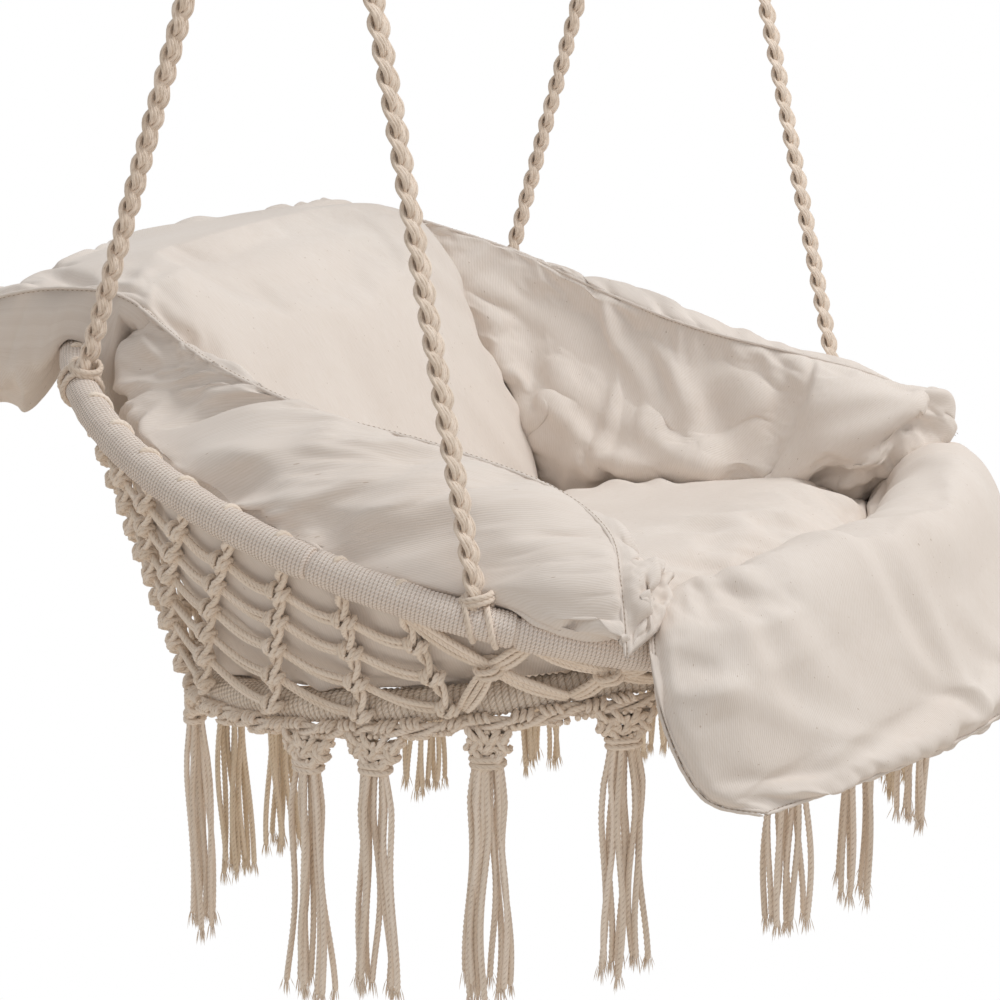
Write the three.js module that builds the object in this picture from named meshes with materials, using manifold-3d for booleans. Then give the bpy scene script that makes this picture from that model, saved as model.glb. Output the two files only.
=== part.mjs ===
// A double-ring macrame hammock chair with its cushion, in millimetres.
// +Z is up, the sitter faces -Y, and the sitter's left hand is at +X.
// The origin is midway between the two points that hold the chair up.
import * as THREE from 'three';
import * as BufferGeometryUtils from 'three/addons/utils/BufferGeometryUtils.js';
import Module from 'manifold-3d';

const wasm = await Module();
wasm.setup();

// Running gap between pieces that touch on the real chair
const GAP = 0.3;
const CUT_OVERRUN = 4;

// Where the chair hangs
const HANG_SPACING = 634;
const SWING_AXIS_TO_SEAT = 818;
const SEAT_FORWARD = 38;

// Round bars of the carabiners and the hang rings
const CARABINER_WIRE = 9;
const CARABINER_WIDTH = 33;
const CARABINER_LENGTH = 73;
const GATE_DIAMETER = 8;
const GATE_TIP_GAP = 1.3;
const GATE_FOOT_GAP = 2.4;
const GATE_PIN_DIAMETER = 2.5;
const GATE_PIN_HEIGHT = 6;
const GATE_TONGUE_THICKNESS = 3;
const GATE_TONGUE_WIDTH = 6;
const GATE_TONGUE_TOP = 3.2;
const GATE_SLOT_TOP = 6;
const HANG_RING_WIRE = 9;
const HANG_RING_DIAMETER = 73;

// Steel tube rings and the cord wound round them
const RING_TUBE = 20;
const RING_TUBE_WALL = 1.2;
const WRAP_CORD = 3.2;
const WRAP_JOINT_GAP = 0.8;
const ARM_RING_DIAMETER = 757;
const ARM_RING_TILT = 15.5;
const RING_FRONT_LEAD = 42;
const RING_FRONT_DROP = 14.5;
const SEAT_RING_DIAMETER = 597;
const SEAT_RING_TILT = -10.3;

// Hanging ropes: four braids of three strands
const ROPE_DIAMETER = 18;
const ROPE_BACK_LEFT_ANGLE = 58;
const ROPE_BACK_RIGHT_ANGLE = 45;
const ROPE_FRONT_ANGLE = 114;
const ROPE_EYE_ANGLE = 32;
const EYE_GAP = 2;
const WHIPPING_TOP = 30;
const WHIPPING_LENGTH = 40;
const WHIPPING_CORD = 3;
const ROPE_KNOT_DIAMETER = 31;
const ROPE_KNOT_HEIGHT = 15;
const ROPE_KNOT_RISE_SHARE = 1.5;

// The knotted net between the two rings
const NET_CORD = 5;
const NET_STRAND_WIDTH = 6;
const NET_COLUMNS = 48;
const NET_ROW = 36;
const NET_LEAN_SHARE = 0.4;
const NET_LAP = 3;
const SEAT_NET_SECTORS = 12;
const SEAT_NET_SAG = 42;
const SEAT_NET_HUB = 80;

// The knotted hem under the seat ring, and the tassels that hang from it
const HEM_CORD = 12;
const TASSEL_LENGTH = 240;
const TASSEL_KNOT = 30;
const TASSEL_NECK = 19;
const TASSEL_SKIRT = 32;
const TASSEL_KNOT_LENGTH = 34;
const TASSEL_SPREAD_SHARE = 1.35;

// Filled cushion panels, sewn edge to edge
const SEAM_GAP = 0.7;
const SEAT_CROWN = 34;
const SEAT_BELLY = 56;
const BACK_CROWN = 34;
const BACK_BELLY = 84;
const BACK_DIP = 28;
const ARM_CROWN = 26;
const ARM_BACK_ANGLE = 38;
const ARM_FRONT_ANGLE = 130;
const FRONT_CROWN = 10;
const FRONT_BELLY = 18;
const FRONT_LIFT = 44;
const CUSHION_CLEARANCE = 8;
const SEAT_NET_CLEARANCE = 1.7;
const CUSHION_CELLS_ACROSS = 10;
const CUSHION_CELLS_ALONG = 9;

const HALF = 0.5;
const RIGHT_ANGLE = Math.PI / 2;
const FULL_TURN = 2 * Math.PI;
const X = new THREE.Vector3(1, 0, 0);
const Y = new THREE.Vector3(0, 1, 0);
const Z = new THREE.Vector3(0, 0, 1);

const COTTON = { color: 0xcfc3b3, roughness: 0.95, metalness: 0 };
const TWILL = { color: 0xe3d9cc, roughness: 0.95, metalness: 0 };
const STEEL = { color: 0xb8b8b4, roughness: 0.35, metalness: 0.9 };
const TUBE_STEEL = { color: 0x9a9a98, roughness: 0.5, metalness: 0.8 };

const chair = new THREE.Group();

function radians(degrees) {
  return THREE.MathUtils.degToRad(degrees);
}

function vector(x, y, z) {
  return new THREE.Vector3(x, y, z);
}

// The point that lies the given lengths along up to three directions
function offset(point, ...steps) {
  const moved = point.clone();
  for (const [direction, length] of steps) moved.addScaledVector(direction, length);
  return moved;
}

function addPiece(name, geometry, look) {
  const material = new THREE.MeshStandardMaterial(look);
  const mesh = new THREE.Mesh(geometry, material);
  mesh.name = name;
  chair.add(mesh);
  return mesh;
}

function meshFromTriangles(points, triangles) {
  const geometry = new THREE.BufferGeometry();
  const values = points.flatMap((point) => [point.x, point.y, point.z]);
  geometry.setAttribute('position', new THREE.Float32BufferAttribute(values, 3));
  geometry.setIndex(triangles.flat());
  geometry.computeVertexNormals();
  return geometry;
}

function toSolid(geometry) {
  const bare = geometry.clone();
  bare.deleteAttribute('normal');
  bare.deleteAttribute('uv');
  const merged = BufferGeometryUtils.mergeVertices(bare);
  const vertProperties = new Float32Array(merged.attributes.position.array);
  const triVerts = new Uint32Array(merged.index.array);
  return new wasm.Manifold(new wasm.Mesh({ numProp: 3, vertProperties, triVerts }));
}

function fromSolid(solid) {
  const mesh = solid.getMesh();
  const geometry = new THREE.BufferGeometry();
  geometry.setAttribute('position', new THREE.BufferAttribute(mesh.vertProperties, mesh.numProp));
  geometry.setIndex(new THREE.BufferAttribute(mesh.triVerts, 1));
  geometry.computeVertexNormals();
  return geometry;
}

function roundSection(diameter, sides) {
  const radius = diameter / 2;
  const points = [];
  for (let i = 0; i < sides; i += 1) {
    const turn = (FULL_TURN * (i + HALF)) / sides;
    points.push(new THREE.Vector2(radius * Math.cos(turn), radius * Math.sin(turn)));
  }
  return points;
}

// A solid tube through stations that each hold a point and two cross directions
function sweep(stations, section) {
  const points = [];
  for (const { point, side, other } of stations) {
    for (const corner of section) points.push(offset(point, [side, corner.x], [other, corner.y]));
  }
  const count = section.length;
  const triangles = [];
  for (let i = 0; i + 1 < stations.length; i += 1) {
    for (let j = 0; j < count; j += 1) {
      const next = (j + 1) % count;
      const low = i * count;
      const high = low + count;
      triangles.push([low + j, low + next, high + next]);
      triangles.push([low + j, high + next, high + j]);
    }
  }
  const last = (stations.length - 1) * count;
  for (let j = 1; j + 1 < count; j += 1) {
    triangles.push([0, j + 1, j]);
    triangles.push([last, last + j, last + j + 1]);
  }
  return meshFromTriangles(points, triangles);
}

// Stations along points that all lie in one plane with the given normal
function planarStations(points, planeNormal) {
  return points.map((point, i) => {
    const before = points[Math.max(i - 1, 0)];
    const after = points[Math.min(i + 1, points.length - 1)];
    const along = after.clone().sub(before).normalize();
    const side = planeNormal.clone().cross(along).normalize();
    return { point, side, other: planeNormal.clone() };
  });
}

// A flat circle that tilts about the X axis. Angle 0 is the back, 90 the sitter's left.
class Ring {
  constructor(centre, diameter, tilt) {
    this.centre = centre;
    this.radius = diameter / 2;
    this.backward = vector(0, Math.cos(radians(tilt)), Math.sin(radians(tilt)));
    this.up = X.clone().cross(this.backward);
  }

  outward(angle) {
    const turn = radians(angle);
    return offset(vector(0, 0, 0), [X, Math.sin(turn)], [this.backward, Math.cos(turn)]);
  }

  along(angle) {
    const turn = radians(angle);
    return offset(vector(0, 0, 0), [X, Math.cos(turn)], [this.backward, -Math.sin(turn)]);
  }

  point(angle, out = 0, above = 0) {
    return offset(this.centre, [this.outward(angle), this.radius + out], [this.up, above]);
  }

  // The same place on the straight run between the two bending steps either side of it
  stepPoint(angle) {
    const stepAngle = 360 / RING_STEPS;
    const first = Math.floor(angle / stepAngle) * stepAngle;
    return this.point(first).lerp(this.point(first + stepAngle), (angle - first) / stepAngle);
  }
}

class RingArc extends THREE.Curve {
  constructor(ring, from, to) {
    super();
    this.ring = ring;
    this.from = from;
    this.to = to;
  }

  angle(share) {
    return this.from + (this.to - this.from) * share;
  }

  getPoint(share) {
    return this.ring.point(this.angle(share));
  }

  computeFrenetFrames(segments) {
    const frames = { tangents: [], normals: [], binormals: [] };
    for (let i = 0; i <= segments; i += 1) {
      const angle = this.angle(i / segments);
      frames.tangents.push(this.ring.along(angle));
      frames.normals.push(this.ring.outward(angle));
      frames.binormals.push(this.ring.up.clone());
    }
    return frames;
  }
}

const WIRE_SIDES = 8;
const RING_SIDES = 8;
const BORE_SIDES = 6;
const TASSEL_SIDES = 6;
const KNOT_SIDES = 10;
const RING_STEPS = 36;
const HANG_RING_STEPS = 20;

const carabinerBend = (CARABINER_WIDTH - CARABINER_WIRE) / 2;
const carabinerStraight = CARABINER_LENGTH - CARABINER_WIDTH;
const topBendHeight = CARABINER_WIRE / 2 - carabinerBend;
const lowBendHeight = topBendHeight - carabinerStraight;
const swingAxisHeight = lowBendHeight - carabinerBend;
const hangRingRadius = (HANG_RING_DIAMETER - HANG_RING_WIRE) / 2;
const hangRingDrop = hangRingRadius - HANG_RING_WIRE / 2 - CARABINER_WIRE / 2 - GAP;
const hangRingHeight = swingAxisHeight - hangRingDrop;

const wrapDiameter = RING_TUBE + 2 * (WRAP_CORD + GAP);
const wrapRadius = wrapDiameter / 2;
const wrapFlat = wrapRadius * Math.cos(Math.PI / RING_SIDES);
const seatHeight = swingAxisHeight - SWING_AXIS_TO_SEAT;
const seatRing = new Ring(vector(0, -SEAT_FORWARD, seatHeight), SEAT_RING_DIAMETER, SEAT_RING_TILT);
const armRing = new Ring(vector(0, 0, 0), ARM_RING_DIAMETER, ARM_RING_TILT);
const armRingFront = offset(seatRing.point(180), [Y, -RING_FRONT_LEAD], [Z, -RING_FRONT_DROP]);
armRing.centre = armRingFront.clone().sub(armRing.point(180));
const ringRise = armRing.centre.z - seatRing.centre.z;

// Carabiners: an oval bar, open on the side that faces the other carabiner
function carabinerBar(x, inward) {
  const pivotHeight = lowBendHeight + GATE_PIN_HEIGHT;
  const gateTop = topBendHeight - GATE_TIP_GAP;
  const bendSteps = 8;
  const points = [];
  for (let i = 0; i <= bendSteps; i += 1) {
    const turn = (Math.PI * i) / bendSteps;
    const across = inward * carabinerBend * Math.cos(turn);
    points.push(vector(x + across, 0, lowBendHeight - carabinerBend * Math.sin(turn)));
  }
  for (let i = 0; i <= bendSteps; i += 1) {
    const turn = (Math.PI * i) / bendSteps;
    const across = -inward * carabinerBend * Math.cos(turn);
    points.push(vector(x + across, 0, topBendHeight + carabinerBend * Math.sin(turn)));
  }
  const stations = planarStations(points, Y);
  const bar = toSolid(sweep(stations, roundSection(CARABINER_WIRE, WIRE_SIDES)));
  const tongueHeight = GATE_PIN_HEIGHT + GATE_TONGUE_TOP + CUT_OVERRUN;
  const tongue = new THREE.BoxGeometry(GATE_TONGUE_WIDTH, GATE_TONGUE_THICKNESS, tongueHeight);
  const tongueMiddle = pivotHeight + GATE_TONGUE_TOP - tongueHeight / 2;
  tongue.translate(x + inward * carabinerBend, 0, tongueMiddle);
  const pinHole = gatePin(x, inward, GATE_PIN_DIAMETER + 2 * GAP, GATE_DIAMETER);
  const solid = bar.add(toSolid(tongue)).subtract(toSolid(pinHole));
  return { geometry: fromSolid(solid), pivotHeight, gateTop };
}

function gatePin(x, inward, diameter, length) {
  const pin = new THREE.CylinderGeometry(diameter / 2, diameter / 2, length, WIRE_SIDES);
  pin.translate(x + inward * carabinerBend, 0, lowBendHeight + GATE_PIN_HEIGHT);
  return pin;
}

function carabinerGate(x, inward, pivotHeight, gateTop) {
  const bottom = lowBendHeight + GATE_FOOT_GAP;
  const height = gateTop - bottom;
  const radius = GATE_DIAMETER / 2;
  const bar = new THREE.CylinderGeometry(radius, radius, height, WIRE_SIDES);
  bar.rotateX(RIGHT_ANGLE);
  bar.translate(x + inward * carabinerBend, 0, bottom + height / 2);
  const slotHeight = pivotHeight + GATE_SLOT_TOP - bottom + CUT_OVERRUN;
  const slotWidth = GATE_TONGUE_THICKNESS + 2 * GAP;
  const slot = new THREE.BoxGeometry(GATE_DIAMETER + CUT_OVERRUN, slotWidth, slotHeight);
  slot.translate(x + inward * carabinerBend, 0, pivotHeight + GATE_SLOT_TOP - slotHeight / 2);
  const hole = gatePin(x, inward, GATE_PIN_DIAMETER + 2 * GAP, GATE_DIAMETER + CUT_OVERRUN);
  return fromSolid(toSolid(bar).subtract(toSolid(slot)).subtract(toSolid(hole)));
}

function addCarabiner(x, inward, side) {
  const { geometry, pivotHeight, gateTop } = carabinerBar(x, inward);
  addPiece(`carabiner_${side}`, geometry, STEEL);
  addPiece(`carabiner_gate_${side}`, carabinerGate(x, inward, pivotHeight, gateTop), STEEL);
  addPiece(`carabiner_pin_${side}`, gatePin(x, inward, GATE_PIN_DIAMETER, GATE_DIAMETER), STEEL);
}

function addHangRing(x, side) {
  const ring = new THREE.TorusGeometry(hangRingRadius, HANG_RING_WIRE / 2, WIRE_SIDES, HANG_RING_STEPS);
  const piece = addPiece(`hang_ring_${side}`, ring, STEEL);
  piece.rotation.y = RIGHT_ANGLE;
  piece.position.set(x, 0, hangRingHeight);
}

// Steel tube rings, each bent from one tube whose ends meet at a weld
function addRingTube(name, ring, seamAngle) {
  const section = new THREE.Shape(roundSection(RING_TUBE, RING_SIDES));
  section.holes.push(new THREE.Path(roundSection(RING_TUBE - 2 * RING_TUBE_WALL, BORE_SIDES)));
  const openAngle = THREE.MathUtils.radToDeg(GAP / ring.radius);
  const path = new RingArc(ring, seamAngle, seamAngle + 360 - openAngle);
  const options = { steps: RING_STEPS, extrudePath: path, bevelEnabled: false };
  addPiece(name, new THREE.ExtrudeGeometry(section, options), TUBE_STEEL);
}

// The cord wound round a ring, as sleeves that meet where one cord ends and the next starts
function addRingWrap(prefix, ring, seamAngles) {
  const section = new THREE.Shape(roundSection(wrapDiameter, RING_SIDES));
  section.holes.push(new THREE.Path(roundSection(RING_TUBE + 2 * GAP, RING_SIDES)));
  const openAngle = THREE.MathUtils.radToDeg(WRAP_JOINT_GAP / ring.radius);
  const sectionCount = seamAngles.length;
  for (let i = 0; i < sectionCount; i += 1) {
    const from = seamAngles[i];
    const to = i + 1 < sectionCount ? seamAngles[i + 1] : seamAngles[0] + 360;
    const path = new RingArc(ring, from, to - openAngle);
    const steps = Math.round((RING_STEPS * (to - from)) / 360);
    const options = { steps, extrudePath: path, bevelEnabled: false };
    addPiece(`${prefix}_${i + 1}`, new THREE.ExtrudeGeometry(section, options), COTTON);
  }
}

// The wound ring near one angle, grown by the running gap, to cut its place in a soft piece
function ringCutter(ring, angle, reachSteps = 1) {
  const stepAngle = 360 / RING_STEPS;
  const first = Math.floor(angle / stepAngle) - reachSteps;
  const stations = [];
  for (let i = 0; i <= 2 * reachSteps + 1; i += 1) {
    const at = (first + i) * stepAngle;
    stations.push({ point: ring.point(at), side: ring.outward(at), other: ring.up.clone() });
  }
  const grown = wrapDiameter + (2 * GAP) / Math.cos(Math.PI / RING_SIDES);
  return toSolid(sweep(stations, roundSection(grown, RING_SIDES)));
}

// Hanging ropes
function ropeFrame(sideSign, ringAngle, eyeAngle) {
  const hangRingCentre = vector((sideSign * HANG_SPACING) / 2, 0, hangRingHeight);
  const eyeTurn = radians(eyeAngle);
  const eyeOut = vector(0, Math.sin(eyeTurn), -Math.cos(eyeTurn));
  const eye = offset(hangRingCentre, [eyeOut, hangRingRadius]);
  const foot = armRing.point(ringAngle);
  const up = eye.clone().sub(foot);
  const length = up.length();
  up.normalize();
  const across = X.clone().sub(up.clone().multiplyScalar(up.x)).normalize();
  return { eye, foot, up, across, normal: across.clone().cross(up), length, ringAngle };
}

// How far from the ring's centreline a rope's flat end clears the wrap
function ropeFootGap(frame) {
  const lean = Math.abs(frame.up.dot(armRing.along(frame.ringAngle)));
  const clear = wrapRadius + GAP + (ROPE_DIAMETER / 2) * lean;
  return clear / Math.sqrt(1 - lean * lean);
}

function ropePoints(frame) {
  const loop = HANG_RING_WIRE / 2 + EYE_GAP + ROPE_DIAMETER / 2;
  const leg = (ROPE_DIAMETER + GAP) / 2;
  const whippingEnd = WHIPPING_TOP + WHIPPING_LENGTH;
  const at = (across, down) => offset(frame.eye, [frame.across, across], [frame.up, -down]);
  const points = [at(0, frame.length - ropeFootGap(frame))];
  points.push(at(-leg, whippingEnd));
  points.push(at(-leg, WHIPPING_TOP));
  points.push(at(-(leg + loop) / 2, WHIPPING_TOP / 2));
  const loopSteps = 8;
  for (let i = 0; i <= loopSteps; i += 1) {
    const turn = (Math.PI * i) / loopSteps;
    points.push(at(-loop * Math.cos(turn), -loop * Math.sin(turn)));
  }
  points.push(at((leg + loop) / 2, WHIPPING_TOP / 2));
  points.push(at(leg, WHIPPING_TOP));
  points.push(at(leg, whippingEnd + ROPE_DIAMETER / 4));
  return points;
}

function stadium(halfLength, radius, sides) {
  const points = [];
  for (let i = 0; i <= sides; i += 1) {
    const turn = (Math.PI * i) / sides - RIGHT_ANGLE;
    points.push(new THREE.Vector2(halfLength + radius * Math.cos(turn), radius * Math.sin(turn)));
  }
  for (let i = 0; i <= sides; i += 1) {
    const turn = (Math.PI * i) / sides + RIGHT_ANGLE;
    points.push(new THREE.Vector2(-halfLength + radius * Math.cos(turn), radius * Math.sin(turn)));
  }
  return points;
}

function addWhipping(frame, name) {
  const halfLength = (ROPE_DIAMETER + GAP) / 2;
  const bendSides = 5;
  const inner = (ROPE_DIAMETER / 2 + GAP) / Math.cos(RIGHT_ANGLE / bendSides);
  const section = new THREE.Shape(stadium(halfLength, inner + WHIPPING_CORD, bendSides));
  section.holes.push(new THREE.Path(stadium(halfLength, inner, bendSides)));
  const options = { depth: WHIPPING_LENGTH, steps: 1, bevelEnabled: false };
  const piece = addPiece(name, new THREE.ExtrudeGeometry(section, options), COTTON);
  const down = frame.up.clone().negate();
  const basis = new THREE.Matrix4().makeBasis(frame.across, down.clone().cross(frame.across), down);
  piece.quaternion.setFromRotationMatrix(basis);
  piece.position.copy(offset(frame.eye, [down, WHIPPING_TOP]));
}

// The knot round the foot of a rope, saddled on the wound ring
function addRopeKnot(frame, name) {
  const outer = ROPE_KNOT_DIAMETER / 2;
  const inner = (ROPE_DIAMETER / 2 + GAP) / Math.cos(Math.PI / KNOT_SIDES);
  const middle = (outer + inner) / 2;
  const low = ropeFootGap(frame) - ROPE_KNOT_HEIGHT / 2;
  const high = low + ROPE_KNOT_HEIGHT * ROPE_KNOT_RISE_SHARE;
  const belly = (low + high) / 2;
  const profile = [
    new THREE.Vector2(inner, low),
    new THREE.Vector2(middle, low),
    new THREE.Vector2(outer, belly),
    new THREE.Vector2(middle, high),
    new THREE.Vector2(inner, high),
    new THREE.Vector2(inner, low),
  ];
  const collar = new THREE.LatheGeometry(profile, KNOT_SIDES);
  const turn = new THREE.Quaternion().setFromUnitVectors(Y, frame.up);
  collar.applyQuaternion(turn);
  collar.translate(frame.foot.x, frame.foot.y, frame.foot.z);
  const cut = ringCutter(armRing, frame.ringAngle);
  addPiece(name, fromSolid(toSolid(collar).subtract(cut)), COTTON);
}

function addRopes(sideSign, side, backAngle) {
  const places = [
    ['back', backAngle, ROPE_EYE_ANGLE],
    ['front', ROPE_FRONT_ANGLE, -ROPE_EYE_ANGLE],
  ];
  for (const [place, angle, eyeAngle] of places) {
    const frame = ropeFrame(sideSign, sideSign * angle, eyeAngle);
    const stations = planarStations(ropePoints(frame), frame.normal);
    const name = `${place}_${side}`;
    addPiece(`rope_${name}`, sweep(stations, roundSection(ROPE_DIAMETER, WIRE_SIDES)), COTTON);
    addWhipping(frame, `rope_whipping_${name}`);
    addRopeKnot(frame, `rope_knot_${name}`);
  }
}

// Nets: a sheet of cells with a hole in each, given the thickness of its cord
class Sheet {
  constructor() {
    this.points = [];
    this.normals = [];
    this.triangles = [];
    this.found = new Map();
  }

  add(point, normal) {
    const key = [point.x, point.y, point.z].map((value) => value.toFixed(2)).join(' ');
    if (!this.found.has(key)) {
      this.found.set(key, this.points.length);
      this.points.push(point);
      this.normals.push(normal);
    }
    return this.found.get(key);
  }

  addTriangle(a, b, c) {
    if (a !== b && b !== c && c !== a) this.triangles.push([a, b, c]);
  }

  // A cell between four knots, with a hole that leaves half a strand along each side
  addCell(knots, strand) {
    const at = (u, v, field) => {
      const low = knots[0][field].clone().lerp(knots[1][field], u);
      const high = knots[3][field].clone().lerp(knots[2][field], u);
      return low.lerp(high, v);
    };
    const place = (u, v) => this.add(at(u, v, 'point'), at(u, v, 'normal').normalize());
    const width = at(0, HALF, 'point').distanceTo(at(1, HALF, 'point'));
    const height = at(HALF, 0, 'point').distanceTo(at(HALF, 1, 'point'));
    const outer = [place(0, 0), place(1, 0), place(1, 1), place(0, 1)];
    const u = strand / 2 / width;
    const v = strand / 2 / height;
    const smallestHoleShare = 0.35;
    if (u > smallestHoleShare || v > smallestHoleShare) {
      this.addTriangle(outer[0], outer[1], outer[2]);
      this.addTriangle(outer[0], outer[2], outer[3]);
      return;
    }
    const inner = [place(u, v), place(1 - u, v), place(1 - u, 1 - v), place(u, 1 - v)];
    for (let i = 0; i < 4; i += 1) {
      const next = (i + 1) % 4;
      this.addTriangle(outer[i], outer[next], inner[next]);
      this.addTriangle(outer[i], inner[next], inner[i]);
    }
  }

  thicken(thickness) {
    const half = thickness / 2;
    const raised = this.points.map((point, i) => offset(point, [this.normals[i], half]));
    const lowered = this.points.map((point, i) => offset(point, [this.normals[i], -half]));
    const count = this.points.length;
    const edges = new Set();
    for (const [a, b, c] of this.triangles) {
      for (const [from, to] of [[a, b], [b, c], [c, a]]) edges.add(`${from} ${to}`);
    }
    const triangles = [...this.triangles];
    for (const [a, b, c] of this.triangles) triangles.push([a + count, c + count, b + count]);
    for (const edge of edges) {
      const [from, to] = edge.split(' ').map(Number);
      if (!edges.has(`${to} ${from}`)) {
        triangles.push([from, from + count, to + count]);
        triangles.push([from, to + count, to]);
      }
    }
    return meshFromTriangles([...raised, ...lowered], triangles);
  }
}

// One knot of the side net: it hangs a given length down from the arm ring
function sideNetKnot(baseAngle, row) {
  const lean = NET_LEAN_SHARE * row * Math.sin(radians(baseAngle));
  const angle = baseAngle - (lean * 360) / NET_COLUMNS;
  const low = seatRing.point(angle, wrapRadius + GAP + NET_CORD / 2, -NET_LAP);
  const ringPoint = armRing.stepPoint(angle);
  const along = armRing.along(angle);
  const down = low.clone().sub(ringPoint);
  down.addScaledVector(along, -down.dot(along));
  down.normalize();
  const high = offset(ringPoint, [down, wrapRadius + 2 * GAP]);
  const length = high.distanceTo(low);
  const slope = low.clone().sub(high).normalize();
  const depth = Math.min(row * NET_ROW, length);
  const normal = along.clone().cross(slope).normalize();
  return { point: offset(high, [slope, depth]), normal, spent: row * NET_ROW >= length };
}

function addSideNet() {
  const sheet = new Sheet();
  const mostRows = Math.ceil((2 * ringRise) / NET_ROW) + 1;
  for (let column = 0; column < NET_COLUMNS; column += 1) {
    const angle = (360 * column) / NET_COLUMNS;
    const nextAngle = (360 * (column + 1)) / NET_COLUMNS;
    for (let row = 0; row < mostRows; row += 1) {
      const high = [sideNetKnot(angle, row), sideNetKnot(nextAngle, row)];
      const low = [sideNetKnot(nextAngle, row + 1), sideNetKnot(angle, row + 1)];
      if (!(high[0].spent && high[1].spent)) sheet.addCell([...high, ...low], NET_STRAND_WIDTH);
    }
  }
  addPiece('side_net', sheet.thicken(NET_CORD), COTTON);
}

const seatNetRadius = seatRing.radius - wrapFlat - GAP;

function seatNetKnot(sector, radius) {
  const angle = (360 * sector) / SEAT_NET_SECTORS;
  const sag = SEAT_NET_SAG * (1 - (radius / seatNetRadius) ** 2);
  const point = seatRing.point(angle, radius - seatRing.radius, -sag);
  return { point, normal: seatRing.up.clone() };
}

function addSeatNet() {
  const sheet = new Sheet();
  const hub = SEAT_NET_HUB / 2;
  const ringShares = [0, 0.33, 0.67, 1];
  const radii = ringShares.map((share) => hub + (seatNetRadius - hub) * share);
  const centre = sheet.add(seatNetKnot(0, 0).point, seatRing.up.clone());
  for (let sector = 0; sector < SEAT_NET_SECTORS; sector += 1) {
    const hubKnots = [seatNetKnot(sector, hub), seatNetKnot(sector + 1, hub)];
    const [first, second] = hubKnots.map((knot) => sheet.add(knot.point, knot.normal));
    sheet.addTriangle(centre, second, first);
    for (let i = 0; i + 1 < radii.length; i += 1) {
      const inner = [seatNetKnot(sector, radii[i]), seatNetKnot(sector + 1, radii[i])];
      const outer = [seatNetKnot(sector + 1, radii[i + 1]), seatNetKnot(sector, radii[i + 1])];
      sheet.addCell([...inner, ...outer], NET_STRAND_WIDTH);
    }
  }
  addPiece('seat_net', sheet.thicken(NET_CORD), COTTON);
}

// The hem lies against the lower outer side of the wound seat ring
const hemReach = (wrapFlat + GAP + HEM_CORD / 2) * Math.SQRT1_2;

const hemCentre = offset(seatRing.centre, [seatRing.up, -hemReach]);
const hemRing = new Ring(hemCentre, SEAT_RING_DIAMETER + 2 * hemReach, SEAT_RING_TILT);

function addHem() {
  const section = new THREE.Shape(roundSection(HEM_CORD, 6));
  const halves = [['left', 0], ['right', 180]];
  const openAngle = THREE.MathUtils.radToDeg(WRAP_JOINT_GAP / hemRing.radius);
  for (const [side, from] of halves) {
    const path = new RingArc(hemRing, from, from + 180 - openAngle);
    const options = { steps: RING_STEPS / 2, extrudePath: path, bevelEnabled: false };
    addPiece(`hem_${side}`, new THREE.ExtrudeGeometry(section, options), COTTON);
  }
}

function addTassels() {
  const angles = [6, 38, 59, 80, 100, 119, 140, 159, 191, 207, 233, 252, 269, 281, 326, 352];
  const knotTopShare = 0.14;
  const knot = TASSEL_KNOT / 2;
  const neck = TASSEL_NECK / 2;
  const skirt = TASSEL_SKIRT / 2;
  const profile = [
    new THREE.Vector2(0, 0),
    new THREE.Vector2(knot / 2, -TASSEL_KNOT_LENGTH * knotTopShare),
    new THREE.Vector2(knot, -TASSEL_KNOT_LENGTH / 2),
    new THREE.Vector2(neck, -TASSEL_KNOT_LENGTH),
    new THREE.Vector2((neck + skirt) / 2, -TASSEL_LENGTH / 2),
    new THREE.Vector2(skirt, -TASSEL_LENGTH),
    new THREE.Vector2(0, -TASSEL_LENGTH),
  ];
  angles.forEach((angle, i) => {
    const shape = new THREE.LatheGeometry([...profile].reverse(), TASSEL_SIDES);
    shape.rotateX(RIGHT_ANGLE);
    shape.scale(1, TASSEL_SPREAD_SHARE, 1);
    const number = String(i + 1).padStart(2, '0');
    const piece = addPiece(`tassel_${number}`, shape, COTTON);
    const outward = seatRing.outward(angle);
    piece.rotation.z = Math.atan2(outward.y, outward.x);
    piece.position.copy(offset(hemRing.stepPoint(angle), [hemRing.up, -HEM_CORD / 2 - GAP]));
  });
}

// Cushion panels. Every edge is a smooth line through points, given as shares of the
// arm ring's radius: across, back from the seat ring's centre, and up from it.
const seatBackShares = [[-0.53, 0.26, 0.06], [0, 0.24, 0.05], [0.53, 0.26, 0.06]];
const seatFrontShares = [
  [-0.62, -0.5, 0.15], [-0.4, -0.56, 0.18], [0, -0.66, 0.18], [0.4, -0.58, 0.16], [0.62, -0.5, 0.15],
];
const seatSideShares = [[0.53, 0.26, 0.06], [0.58, -0.1, 0.08], [0.62, -0.5, 0.15]];
const armTopShares = [
  [0.585, 0.69, 0.715], [0.67, 0.46, 0.64], [0.665, 0.2, 0.56], [0.62, -0.06, 0.51],
  [0.605, -0.32, 0.44], [0.665, -0.46, 0.37], [0.74, -0.53, 0.32], [0.79, -0.54, 0.27],
];
const armBackShares = [[0.53, 0.26, 0.06], [0.54, 0.45, 0.36], [0.585, 0.69, 0.715]];
const armFrontShares = [[0.62, -0.5, 0.15], [0.66, -0.52, 0.26], [0.74, -0.55, 0.29], [0.79, -0.54, 0.27]];
const backTopShares = [[-0.68, 1.14, 0.72], [-0.3, 1.16, 0.71], [0.3, 1.16, 0.69], [0.68, 1.13, 0.67]];
const backRightShares = [
  [0.53, 0.26, 0.06], [0.54, 0.45, 0.36], [0.585, 0.69, 0.715], [0.61, 0.86, 0.75],
  [0.66, 1.02, 0.75], [0.68, 1.14, 0.72],
];
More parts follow.
